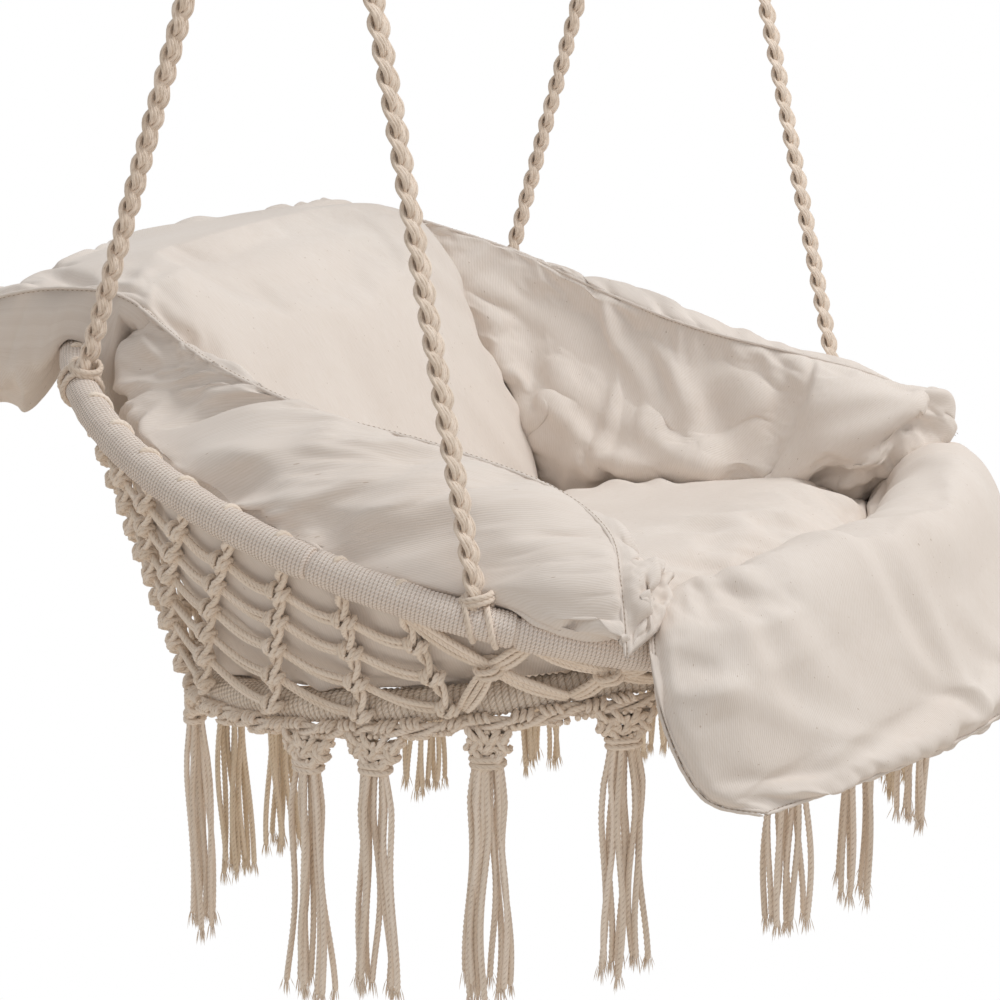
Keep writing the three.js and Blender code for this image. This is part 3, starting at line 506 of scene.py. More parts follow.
def twill_material(name, pale, deep):
    """Cream cotton twill: fine slanted ribs with painted shade between them, slubs and a few dark seed
    flecks.
    """
    nodes = Nodes(bpy.data.materials.new(name))
    uv = nodes.uv_coordinates()
    ribs = nodes.wave(nodes.mapped(uv, (1, 1, 1), 1.25), 300, 0.5)
    slubs = nodes.noise(nodes.mapped(uv, (1, 0.16, 1)), 900, 2)
    cloud = nodes.noise(uv, 7, 3)
    colour = nodes.ramp(cloud, [(0.3, deep), (0.7, pale)])
    # Painted shade between the twill ribs.
    painted_rib_shade = nodes.ramp(ribs, [(0.0, (0.86, 0.83, 0.79)), (0.6, (1, 1, 1))])
    colour = nodes.multiply(0.32, colour, painted_rib_shade)
    slub_shade = nodes.ramp(slubs, [(0.35, (0.93, 0.91, 0.88)), (0.6, (1, 1, 1))])
    colour = nodes.multiply(0.5, colour, slub_shade)
    seeds = nodes.noise(uv, 480, 0)
    seed_shade = nodes.ramp(seeds, [(0.15, (0.5, 0.4, 0.31)), (0.17, (1, 1, 1))])
    colour = nodes.multiply(0.5, colour, seed_shade)
    low = nodes.bump(ribs, 0.2, TWILL_RELIEF)
    normal = nodes.bump(slubs, 0.12, TWILL_RELIEF, low)
    return nodes.finish(colour, normal, 0.9, 0.15)


def steel_material(name, colour, roughness):
    """Drawn steel bar: fine draw lines and a little unevenness of gloss."""
    nodes = Nodes(bpy.data.materials.new(name))
    spot = nodes.object_coordinates()
    lines = nodes.noise(nodes.mapped(spot, (1, 1, 0.05)), 900, 2)
    shade = nodes.ramp(lines, [(0.3, tuple(0.86 * c for c in colour)), (0.7, colour)])
    gloss = nodes.add("ShaderNodeMapRange", {"To Min": roughness - 0.08, "To Max": roughness + 0.1})
    nodes.link(nodes.noise(spot, 120, 4), gloss.inputs["Value"])
    nodes.link(gloss.outputs["Result"], nodes.shader.inputs["Roughness"])
    nodes.link(shade, nodes.shader.inputs["Base Color"])
    nodes.link(nodes.bump(lines, 0.12, DRAWN_RELIEF), nodes.shader.inputs["Normal"])
    nodes.shader.inputs["Metallic"].default_value = 1
    return nodes.owner


# Meshes
def in_scene(name, data):
    thing = bpy.data.objects.new(name, data)
    bpy.context.scene.collection.objects.link(thing)
    return thing


def new_object(name, points, quads, material, uvs=None):
    mesh = bpy.data.meshes.new(name)
    mesh.vertices.add(len(points))
    mesh.vertices.foreach_set("co", np.ascontiguousarray(points, np.float32).ravel())
    mesh.loops.add(quads.size)
    mesh.loops.foreach_set("vertex_index", np.ascontiguousarray(quads, np.int32).ravel())
    mesh.polygons.add(len(quads))
    mesh.polygons.foreach_set("loop_start", np.arange(0, quads.size, 4, dtype=np.int32))
    mesh.polygons.foreach_set("use_smooth", np.ones(len(quads), bool))
    if uvs is not None:
        layer = mesh.uv_layers.new(name="uv")
        corners = uvs if len(uvs) == quads.size else uvs[quads.ravel()]
        layer.data.foreach_set("uv", np.ascontiguousarray(corners, np.float32).ravel())
    mesh.update(calc_edges=True)
    mesh.materials.append(material)
    return in_scene(name, mesh)


def resample(path, step):
    path = np.asarray(path, float)
    lengths = np.linalg.norm(np.diff(path, axis=0), axis=1)
    run = np.concatenate(([0], np.cumsum(lengths)))
    count = max(int(round(run[-1] / step)), 2)
    at = np.linspace(0, run[-1], count + 1)
    return np.stack([np.interp(at, run, path[:, k]) for k in range(3)], axis=1), at


def spline(points, t):
    """A smooth line through points, each span given an equal share of t."""
    points = np.asarray(points, float)
    spans = len(points) - 1
    t = np.clip(np.asarray(t, float), 0, 1) * spans
    i = np.minimum(t.astype(int), spans - 1)
    w = (t - i)[..., None]
    a, b = points[i], points[i + 1]
    first, last = 2 * points[0] - points[1], 2 * points[-1] - points[-2]
    before = np.where((i > 0)[..., None], points[np.maximum(i - 1, 0)], first)
    after = np.where((i < spans - 1)[..., None], points[np.minimum(i + 2, spans)], last)

    def gap(start, end):
        return np.maximum(np.linalg.norm(end - start, axis=-1, keepdims=True), SHORTEST_SPAN) ** 0.5

    t1 = gap(before, a)
    t2 = t1 + gap(a, b)
    t3 = t2 + gap(b, after)
    at = t1 + w * (t2 - t1)
    a1 = ((t1 - at) * before + at * a) / t1
    a2 = ((t2 - at) * a + (at - t1) * b) / (t2 - t1)
    a3 = ((t3 - at) * b + (at - t2) * after) / (t3 - t2)
    b1 = ((t2 - at) * a1 + at * a2) / t2
    b2 = ((t3 - at) * a2 + (at - t1) * a3) / (t3 - t1)
    return ((t2 - at) * b1 + (at - t1) * b2) / (t2 - t1)


def carried_sides(points):
    """Two cross directions at each point of a line, carried along it without twist."""
    tangents = unit(np.gradient(points, axis=0))
    side = np.cross(tangents[0], (0.31, 0.17, 0.93))
    sides = np.empty_like(points)
    for i, tangent in enumerate(tangents):
        side = side - tangent * (side @ tangent)
        side = side / max(math.sqrt(side @ side), TINY)
        sides[i] = side
    return tangents, sides, np.cross(tangents, sides)


class Cords:
    """Many cords or bars gathered into one mesh. With 0 plies a cord is a plain round bar."""

    def __init__(self):
        self.points = []
        self.quads = []
        self.groove_shade_and_tone = []
        self.count = 0

    def add(self, path, radius=CORD_RADIUS, pitch=CORD_PITCH, plies=3, sides=9, step=CORD_STEP):
        points, run = resample(path, step)
        _, side, other = carried_sides(points)
        around = FULL_TURN * np.arange(sides) / sides
        turn = FULL_TURN * run / pitch + rng.uniform(0, FULL_TURN)
        crest = np.abs(np.cos(plies / 2 * (around[None, :] - turn[:, None])))
        lobes = PLY_VALLEY_SHARE + PLY_CREST_SHARE * crest
        ends = np.ones(len(points))
        ends[[0, -1]], ends[[1, -2]] = END_SHARES
        reach = radius * lobes * ends[:, None]
        ring = (
            np.cos(around)[None, :, None] * side[:, None]
            + np.sin(around)[None, :, None] * other[:, None]
        )
        self.points.append((points[:, None] + ring * reach[..., None]).reshape(-1, 3))
        row = np.arange(len(points) - 1)[:, None] * sides
        after = row + sides
        first = np.arange(sides)[None, :]
        second = (first + 1) % sides
        quads = np.stack((row + first, row + second, after + second, after + first), axis=-1)
        self.quads.append(quads.reshape(-1, 4) + self.count)
        # UV x holds the ply crest, which the cord materials turn into painted shade in the grooves; UV y
        # holds a random tone for each cord.
        tone = np.full(crest.shape, rng.random())
        self.groove_shade_and_tone.append(np.stack((crest, tone), axis=-1).reshape(-1, 2))
        self.count += len(points) * sides

    def build(self, name, material):
        points, quads = np.concatenate(self.points), np.concatenate(self.quads)
        return new_object(name, points, quads, material, np.concatenate(self.groove_shade_and_tone))


def place(piece, nodes, body="chair"):
    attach(piece, body)
    if nodes:
        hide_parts(*nodes)
    return piece


def lay(cords, name, material, node=None):
    """Makes gathered cords one piece, in place of the node of that name unless another is given."""
    return place(cords.build(name, material), [node or name])


# Wound rings
def wound_ring(name, ring, turn_length, depth, sides, material, joint_angles):
    """A tube of helical turns. Each turn has four rings of points, with a groove between turns."""
    steps = 4
    turns = int(round(FULL_TURN * ring.radius / turn_length))
    count = turns * steps
    i = np.arange(count)[:, None]
    k = np.arange(sides)[None, :]
    share = (i / steps + k / sides) / turns
    angle = 360 * share
    around = FULL_TURN * k / sides + 0 * i
    ridge = np.abs(np.sin(math.pi * (i % steps + 0.5) / steps)) + 0 * k
    joints = sum(np.exp(-(((angle - joint) / JOINT_WIDTH) ** 2)) for joint in joint_angles)
    ripple = WIND_RIPPLE * np.sin(37 * share * FULL_TURN + 3 * around)
    uneven = ripple + WIND_SWELL * np.sin(101 * share * FULL_TURN)
    radius = WRAP_RADIUS - depth * (1 - ridge) + uneven - JOINT_DEPTH * joints
    points = (
        ring.centre
        + ring.outward(angle) * (ring.radius + radius * np.cos(around))[..., None]
        + ring.up * (radius * np.sin(around))[..., None]
    )
    index = i * sides + k
    nexts = np.where(k + 1 < sides, index + 1, ((i + steps) % count) * sides)
    after = ((i + 1) % count) * sides + k
    after_next = np.where(k + 1 < sides, after + 1, ((i + 1 + steps) % count) * sides)
    quads = np.stack((index, after, after_next, nexts), axis=-1).reshape(-1, 4)
    # UV x counts the turns; the wound material turns it into painted shade in the grooves between them.
    corners = [(0, 0), (1, 0), (1, 1), (0, 1)]
    lengths = FULL_TURN * WRAP_RADIUS / turn_length / sides
    uvs = [np.stack(((i + a) / steps + 0 * k, (k + b) * lengths + 0 * i), axis=-1) for a, b in corners]
    uvs = np.stack(uvs, axis=2).reshape(-1, 2)
    piece = new_object(name, points.reshape(-1, 3), quads, material, uvs)
    place(piece, [f"{name}_{i}" for i in (1, 2, 3)])


# Ropes
def rope_route(name):
    """The rope's line with its eye, its three directions, and where its eye and its foot are."""
    sign = 1 if name.endswith("left") else -1
    lean = EYE_ANGLE if name.startswith("back") else -EYE_ANGLE
    hang = np.array((sign * HALF_SPACING, 0, HANG_RING_HEIGHT))
    turn = math.radians(lean)
    eye = hang + HANG_RING_RADIUS * np.array((0, math.sin(turn), -math.cos(turn)))
    foot = arm_ring.point(ROPE_FEET[name])
    length = np.linalg.norm(eye - foot)
    up = (eye - foot) / length
    across = unit(np.array((1, 0, 0)) - up * up[0])
    loop = HANG_WIRE_RADIUS + EYE_CLEARANCE + BRAID_RADIUS
    leg = BRAID_RADIUS

    def at(side, down):
        return eye + across * side - up * down

    points = [
        at(0, length - WRAP_RADIUS),
        at(0, length - FOOT_RUN),
        at(-leg / 2, LEGS_MEET),
        at(-leg, LEG_JOIN),
        at(-leg, EYE_NECK),
        at(-(leg + loop) / 2, EYE_SHOULDER),
    ]
    for bend in np.linspace(0, math.pi, 9):
        points.append(at(-loop * math.cos(bend), -loop * math.sin(bend)))
    points += [at((leg + loop) / 2, EYE_SHOULDER), at(leg, EYE_NECK), at(leg, LEG_END)]
    return np.array(points), np.cross(across, up), across, up, eye, foot


def braid(cords, path, normal):
    """Three strands of four cords, laid over and under each other."""
    points, run = resample(path, BRAID_STEP)
    tangents = unit(np.gradient(points, axis=0))
    side = unit(np.cross(normal, tangents))
    for number in range(3):
        phase = FULL_TURN * (run / BRAID_PITCH + number / 3)
        sway = side * (BRAID_SWAY * np.sin(phase))[:, None]
        rise = normal * (BRAID_LIFT * np.sin(2 * phase))[:, None]
        centre = points + sway + rise
        heading = unit(np.gradient(centre, axis=0))
        flat = unit(np.cross(normal, heading))
        for across in (-1.5, -0.5, 0.5, 1.5):
            lift = BRAID_CORD_LIFT * (1 - abs(across) / 1.5) * np.sign(np.cos(phase))
            line = centre + flat * (BRAID_CORD_SPACING * across) + normal * lift[:, None]
            cords.add(line, BRAID_CORD_RADIUS, BRAID_CORD_PITCH, step=BRAID_CORD_STEP, sides=8)


def coil(
    cords, centre, axis, side, radius, turns, rise, cord_radius=CORD_RADIUS, stretch=0.0, squash=1.0
):
    """A few turns of cord round an axis, drawn out sideways by stretch."""
    other = np.cross(axis, side)
    share = np.linspace(0, 1, int(turns * 20) + 1)
    turn = FULL_TURN * turns * share
    push = stretch * np.sign(np.cos(turn)) * np.minimum(1, np.abs(np.cos(turn)) * 3)
    line = (
        centre
        + side * (radius * np.cos(turn) + push)[:, None]
        + other * (radius * squash * np.sin(turn))[:, None]
        + axis * (rise * (share - 0.5))[:, None]
    )
    cords.add(line, cord_radius)


def make_rope(name, material):
    """A braid with its eye, the whipping below the eye and the hitch on the arm ring."""
    path, normal, across, up, eye, foot = rope_route(name)
    cords = Cords()
    braid(cords, spline(path, np.linspace(0, 1, 160)), normal)
    lay(cords, f"rope_{name}", material)

    whipping = Cords()
    middle = eye - up * WHIPPING_DROP
    thin, reach = WHIPPING_CORD_RADIUS, 0.8 * BRAID_RADIUS
    coil(whipping, middle, up, across, *WHIPPING_COIL, thin, BRAID_RADIUS)
    for end in (-WHIPPING_END, WHIPPING_END):
        coil(whipping, middle + up * end, up, across, *WHIPPING_END_COIL, thin, reach)
    lay(whipping, f"rope_whipping_{name}", material)

    hitch = Cords()
    along = arm_ring.along(ROPE_FEET[name])
    for shift in (-HITCH_SHIFT, HITCH_SHIFT):
        coil(hitch, foot + along * shift, along, up, *HITCH_COIL)
    base = foot + up * (WRAP_RADIUS + COLLAR_HEIGHT)
    coil(hitch, base, up, across, *COLLAR_COIL)
    low = base - up * COLLAR_LOOP_DROP
    slanted = unit(normal + up * 0.3)
    coil(hitch, low, slanted, unit(np.cross(up, normal)), *COLLAR_LOOP_COIL)
    lay(hitch, f"rope_knot_{name}", material)


# Net
def net_knot(base_angle, row):
    """Where a knot is, its outward direction, whether its column is spent, its slope and length."""
    turned = abs((base_angle + 180) % 360 - 180)
    fade = min(max((CROSSED_FROM - turned) / LEAN_FADE, 0), 1)
    lean = NET_LEAN * fade * row * math.sin(math.radians(base_angle))
    angle = base_angle - lean * 360 / NET_COLUMNS
    low = seat_ring.point(angle, WRAP_RADIUS + CORD_RADIUS, -NET_LAP)
    ring_point = arm_ring.point(angle)
    along = arm_ring.along(angle)
    down = low - ring_point
    down = unit(down - along * (down @ along))
    high = ring_point + down * WRAP_RADIUS
    length = np.linalg.norm(low - high)
    slope = (low - high) / length
    depth = min(row * NET_ROW, length)
    return high + slope * depth, unit(np.cross(along, slope)), row * NET_ROW >= length, slope, length


def strand(cords, start, end, spread, sag, bulge, count, step_count=9):
    """Cords side by side from start to end, sagging and bowed outward."""
    share = np.linspace(0, 1, step_count)
    bow = np.sin(math.pi * share)
    base = start + (end - start) * share[:, None] + sag * bow[:, None] + bulge * bow[:, None]
    for i in range(count):
        shift = (i - (count - 1) / 2) * spread
        wobble = unit(shift + TINY) * CORD_WOBBLE * rng.uniform(-1, 1)
        cords.add(base + shift * (0.55 + 0.45 * bow)[:, None] + wobble * np.sin(FULL_TURN * share)[:, None])


def twisted_pair(cords, start, end, normal):
    """Two cords turned once about each other between two knots."""
    share = np.linspace(0, 1, 14)
    across = unit(np.cross(normal, end - start))
    turn = FULL_TURN * 0.75 * (share - 0.5)
    middle = start + (end - start) * share[:, None]
    offset = across * (PAIR_RADIUS * np.cos(turn))[:, None] + normal * (PAIR_RADIUS * np.sin(turn))[:, None]
    cords.add(middle + offset)
    cords.add(middle - offset)


def net_tie(cords, point, normal, along, slope):
    """One knot: a cord wound twice round the row, and a loop over it."""
    lifted = point + normal * TIE_LIFT
    for side in (1, -1):
        axis = unit(along + slope * (0.5 * side))
        coil(cords, lifted + along * (TIE_SHIFT * side), axis, normal, *TIE_COIL)
    coil(cords, lifted + normal * TIE_LIFT, slope, normal, *TIE_LOOP_COIL)


def make_side_net(material):
    cords = Cords()
    for column in range(NET_COLUMNS):
        angle = column * COLUMN_ANGLE
        if net_knot(angle, 0)[4] < CROSSED_BELOW:
            add_diamonds(cords, column)
            continue
        next_is_long = net_knot(angle + COLUMN_ANGLE, 0)[4] >= CROSSED_BELOW
        for row in range(NET_ROWS):
            point, normal, spent, slope, _ = net_knot(angle, row)
            if spent:
                break
            beside, _, beside_spent, _, _ = net_knot(angle + COLUMN_ANGLE, row)
            twisted_pair(cords, point, net_knot(angle, row + 1)[0], normal)
            if row:
                net_tie(cords, point, normal, unit(beside - point), slope)
                if next_is_long or not beside_spent:
                    spread, sag = slope * ROW_SPREAD, slope * ROW_SAG
                    strand(cords, point, beside, spread, sag, normal * ROW_BULGE, 2)
            else:
                coil(cords, arm_ring.point(angle), arm_ring.along(angle), -slope, *NET_TOP_COIL)
    lay(cords, "side_net", material)


def add_diamonds(cords, column):
    """Where the rings come close, strands of three cords cross at a square knot in each odd column."""
    if column % 2 == 0:
        return

    def at(which, share):
        top, normal, _, slope, length = net_knot(which * COLUMN_ANGLE, 0)
        return top + slope * length * share, normal, slope

    middle, normal, slope = at(column, 0.48)
    for other in (column - 1, column + 1):
        for share in (0, 1):
            end = at(other, share)[0]
            across = unit(np.cross(normal, end - middle)) * CROSSED_SPREAD
            strand(cords, end, middle, across, 0 * slope, normal * CROSSED_BULGE, 3, 7)
    along = unit(np.cross(slope, normal))
    for shift in (-SQUARE_SHIFT, SQUARE_SHIFT):
        centre = middle + slope * shift + normal * SQUARE_LIFT
        coil(cords, centre, slope, along, *SQUARE_COIL, stretch=SQUARE_STRETCH)


def web_drop(radius, outer):
    """How far the web under the seat hangs below the plane of its ring."""
    return WEB_SAG * (1 - (radius / outer) ** 2)


def make_seat_net(material):
    """A sagging web under the seat: spokes of two cords and three rings."""
    cords = Cords()
    outer = SEAT_RING_RADIUS - WRAP_RADIUS + WEB_LAP

    def web(angle, radius):
        return seat_ring.point(angle, radius - SEAT_RING_RADIUS, -web_drop(radius, outer))

    for sector in range(12):
        radii = np.linspace(WEB_HUB * 0.3, outer, 12)
        for shift in (-0.6, 0.6):
            cords.add(web(np.full(12, sector * 30.0) + shift, radii), step=WEB_STEP, sides=7)
    for share in (0, 0.33, 0.67):
        radius = WEB_HUB + (outer - WEB_HUB) * share
        angles = np.linspace(0, 360, 73)
        dip = WEB_DIP * np.abs(np.sin(np.radians(angles) * 6))
        cords.add(web(angles, radius - dip), step=WEB_STEP, sides=7)
    lay(cords, "seat_net", material)


# Hem and tassels
def hem_point(angle, out=0.0, below=0.0):
    return seat_ring.point(angle, HEM_REACH + np.asarray(out), -HEM_REACH - np.asarray(below))


def make_hem(side, start, material):
    """Cords laid along the seat ring and lashed to it in slanted scallops."""
    cords = Cords()
    angles = np.linspace(start, start + 180, 361)
    phase = np.radians(angles) * 24
    scallop = SCALLOP * np.abs(np.sin(phase / 2))
    for number in range(3):
        turn = phase + number * FULL_TURN / 3
        line = hem_point(angles, HEM_SWAY * np.cos(turn), HEM_RISE * np.sin(turn) + scallop)
        cords.add(line, HEM_CORD_RADIUS)
    for i in range(36):
        angle = start + 5 * i + 2.5
        along = seat_ring.along(angle)
        outward = seat_ring.outward(angle)
        slant = unit(along + seat_ring.up * (0.7 if i % 2 else -0.7))
        centre = hem_point(angle, LASHING_OUT, LASHING_DROP)
        for shift in (-LASHING_SHIFT, 0, LASHING_SHIFT):
            coil(cords, centre + along * shift, slant, outward, *LASHING_COIL)
    lay(cords, f"hem_{side}", material)


def gather(cords, top, along, outward, widest):
    """The knotted cluster that narrows from the hem down to the tassel's top."""
    tie, stretch = CLUSTER_TIE_CORD_RADIUS, CLUSTER_BAND_STRETCH
    share = np.linspace(-1, 1, 15)
    for row, half_width in enumerate(np.linspace(widest, CLUSTER_NECK, 3)):
        drop = CLUSTER_ROW * row
        wave = CLUSTER_WAVE * np.sin(9 * share + row * 2)
        sag = CLUSTER_START + drop + CLUSTER_SAG * (1 - share**2) + wave
        for layer in (-CLUSTER_DEPTH, CLUSTER_DEPTH):
            line = (
                top
                + along * (half_width * share)[:, None]
                + DOWN * sag[:, None]
                + outward * (layer * np.sqrt(1 - 0.9 * share**2))[:, None]
            )
            cords.add(line, CLUSTER_CORD_RADIUS)
        for shift in np.linspace(-half_width * 0.7, half_width * 0.7, 4 - row):
            centre = top + along * shift + DOWN * (CLUSTER_TIE_DROP + drop)
            axis = unit(along + DOWN * (0.7 if (row + int(shift > 0)) % 2 else -0.7))
            coil(cords, centre, axis, outward, *CLUSTER_TIE_COIL, tie)
    band = top + DOWN * CLUSTER_BAND_DROP
    axis = unit(DOWN + along * 0.12)
    coil(cords, band, axis, along, *CLUSTER_BAND_COIL, tie, stretch, 0.75)


def tassel_strand(top, along, outward, across, out, length):
    """A strand that leaves its place in the neck, swells outward and hangs in loose waves."""
    share = np.linspace(0, 1, 26)
    swelling = np.minimum(1, share * 5) * 0.5 + share * 0.5
    drift = rng.uniform(-STRAND_DRIFT, STRAND_DRIFT, 2)
    phase = rng.uniform(0, FULL_TURN, 2)
    wave = STRAND_WAVE * np.minimum(1, share * 3)

    def shift(at, reach, waves, i):
        swollen = at * (reach[0] + reach[1] * swelling)
        return (swollen + drift[i] * share + wave * np.sin(waves * share + phase[i]))[:, None]

    sideways = along * shift(across, BUNDLE_ACROSS, 7, 0)
    return top + sideways + outward * shift(out, BUNDLE_OUT, 5, 1) + DOWN * (length * share)[:, None]


def fray(cords, line):
    """Loose fibres where a strand's end has opened."""
    end = line[-1]
    for _ in range(14):
        spread = rng.normal(0, FIBRE_SPREAD, 3) * (1, 1, 0)
        tip = end + spread * 1.3 + DOWN * rng.uniform(*FIBRE_LENGTHS)
        start = end + spread * 0.5 - DOWN * FIBRE_ROOT
        middle = end + spread * 0.9 + DOWN * FIBRE_MIDDLE
        cords.add(np.array((start, middle, tip)), FIBRE_RADIUS, plies=1, sides=4, step=FIBRE_STEP)


def make_tassel(number, angle, material):
    name = f"tassel_{number:02d}"
    outward = unit(seat_ring.outward(angle) * (1, 1, 0))
    along = np.cross(-DOWN, outward)
    top = hem_point(angle, 0, TASSEL_DROP)
    cords = Cords()
    gather(cords, top, along, outward, CLUSTER_WIDE if number % 3 else CLUSTER_NARROW)
    neck = top + DOWN * TASSEL_NECK
    for i in range(TASSEL_STRANDS):
        across = (i - (TASSEL_STRANDS - 1) / 2) / (TASSEL_STRANDS / 2)
        out = rng.uniform(-1, 1) * (1 - 0.5 * abs(across))
        length = (TASSEL_LENGTH - CLUSTER_LENGTH) * rng.uniform(0.92, 1.0)
        line = tassel_strand(neck, along, outward, across, out, length)
        is_middle = i == TASSEL_STRANDS // 2
        strands = Cords() if is_middle else cords
        strands.add(line)
        fray(cords, line)
        if is_middle:
            lay(strands, f"{name}_strand", material, name)
    lay(cords, name, material)


# Cushion
def edge(shares, mirror=1):
    points = np.array(shares, float) * (mirror, 1, 1)
    return seat_ring.centre + points * ARM_RING_RADIUS


def patch(low, high, left, right, u, v):
    """A surface between four edges: low and high run across, left and right along."""
    wide, deep = u[..., None], v[..., None]
    ruled_along = (1 - deep) * spline(low, u) + deep * spline(high, u)
    ruled_across = (1 - wide) * spline(left, v) + wide * spline(right, v)
    low_corners = (1 - wide) * low[0] + wide * low[-1]
    high_corners = (1 - wide) * high[0] + wide * high[-1]
    return ruled_along + ruled_across - (1 - deep) * low_corners - deep * high_corners


def fullness(share, roundness=3.2, softness=0.6):
    """How full a padded panel is at a share of its width: nothing at its two seams."""
    return (1 - np.abs(2 * share - 1) ** roundness) ** softness


def swell(share, first, last):
    """A blunt hump between two shares of a panel's width."""
    within = np.clip((share - first) / (last - first), 0, 1)
    return (1 - np.abs(2 * within - 1) ** 4) ** 0.5


def clear_of_ring(points, ring, clearance=CLEARANCE):
    """Moves points out of a wound ring, to the nearest free place."""
    _, in_plane = ring.split(points)
    nearest = ring.centre + unit(in_plane) * ring.radius
    away = points - nearest
    distance = np.linalg.norm(away, axis=-1, keepdims=True)
    least = WRAP_RADIUS + clearance
    return np.where(distance < least, nearest + unit(away) * least, points)


def inside_net(points):
    """Keeps points between the rings inside the side net."""
    centre = (seat_ring.centre + arm_ring.centre) / 2
    flat = (points - centre) * (1, 1, 0)
    angle = np.degrees(np.arctan2(flat[..., 0], flat[..., 1]))
    high = arm_ring.point(angle)
    low = seat_ring.point(angle, WRAP_RADIUS)
    rise = high[..., 2] - low[..., 2]
    share = (high[..., 2] - points[..., 2]) / np.where(np.abs(rise) < TINY, TINY, rise)
    net = high + (low - high) * share[..., None]
    reach = np.linalg.norm((net - centre)[..., :2], axis=-1) - CLEARANCE - NET_CLEARANCE
    excess = np.maximum(np.linalg.norm(flat, axis=-1) - reach, 0)
    excess = np.where((share < 0) | (share > 1), 0, excess)
    return points - unit(flat) * excess[..., None]


def drape(points):
    """Lifts points that are over the arm ring's tube clear of its top."""
    height, in_plane = arm_ring.split(points)
    reach = np.linalg.norm(in_plane, axis=-1) - arm_ring.radius
    least = WRAP_RADIUS + CLEARANCE
    lift = np.sqrt(np.maximum(least**2 - reach**2, 0)) - height
    covered = (np.abs(reach) < least) & (lift > 0) & (height > -least)
    return points + np.where(covered, lift, 0)[..., None] * arm_ring.up


def over_rings(points):
    return clear_of_ring(clear_of_ring(points, arm_ring), seat_ring)


def draped_over_arm_ring(points):
    return over_rings(drape(points))


def beside_net(points):
    return over_rings(inside_net(points))


class Panel:
    """A filled panel as two grids of points that share their border, ready for cloth."""

    def __init__(self, surface, upper, lower, across, along):
        u, v = np.meshgrid(np.linspace(0, 1, across + 1), np.linspace(0, 1, along + 1), indexing="ij")
        middle = surface(u, v)
        step = 0.01
        along_u = surface(np.minimum(u + step, 1), v) - surface(np.maximum(u - step, 0), v)
        along_v = surface(u, np.minimum(v + step, 1)) - surface(u, np.maximum(v - step, 0))
        normal = unit(np.cross(along_u, along_v))
        border = (u == 0) | (u == 1) | (v == 0) | (v == 1)
        top = np.where(border[..., None], middle, upper(middle, normal, u, v))
        bottom = np.where(border[..., None], middle, lower(middle, normal, u, v))
        width = np.linalg.norm(np.diff(middle[:, along // 2], axis=0), axis=1).sum()
        height = np.linalg.norm(np.diff(middle[across // 2], axis=0), axis=1).sum()
        flat = np.stack((u * width, v * height), axis=-1)
        index = np.arange(u.size).reshape(u.shape)
        under = np.where(border, index, index + u.size)
        self.points = np.concatenate((top.reshape(-1, 3), bottom.reshape(-1, 3)))
        self.uvs = np.concatenate((flat.reshape(-1, 2), flat.reshape(-1, 2) + (0, 1)))
        self.quads = np.concatenate((self.cells(index), self.cells(under)[:, ::-1]))
        used = np.unique(self.quads)
        renumber = np.full(len(self.points), -1)
        renumber[used] = np.arange(len(used))
        self.points = self.points[used]
        self.uvs = self.uvs[used]
        self.quads = renumber[self.quads]
        self.pinned = renumber[index[border]]
        self.corners = renumber[index[[0, 0, -1, -1], [0, -1, 0, -1]]]

    @staticmethod
    def cells(index):
        corners = (index[:-1, :-1], index[1:, :-1], index[1:, 1:], index[:-1, 1:])
        return np.stack(corners, axis=-1).reshape(-1, 4)


def domed(height):
    return lambda middle, normal, u, v: middle + normal * (height * fullness(u) * fullness(v))[..., None]


def seat_panel():
    low, high = edge(SEAT_BACK_SHARES), edge(SEAT_FRONT_SHARES)
    right, left = edge(SEAT_SIDE_SHARES, -1), edge(SEAT_SIDE_SHARES)

    def under(middle, normal, u, v):
        points = domed(-SEAT_BELLY)(middle, normal, u, v)
        flat = points - seat_ring.centre
        outer = SEAT_RING_RADIUS - WRAP_RADIUS
        radius = np.minimum(np.hypot(flat[..., 0], flat[..., 1]), outer)
        plane = flat[..., 1] * seat_ring.backward[2] / seat_ring.backward[1]
        least = seat_ring.centre[2] + plane - web_drop(radius, outer) + WEB_CLEARANCE
        points[..., 2] = np.maximum(points[..., 2], least)
        return points

    return Panel(lambda u, v: patch(low, high, right, left, 1 - u, v), domed(SEAT_CROWN), under, 100, 76)


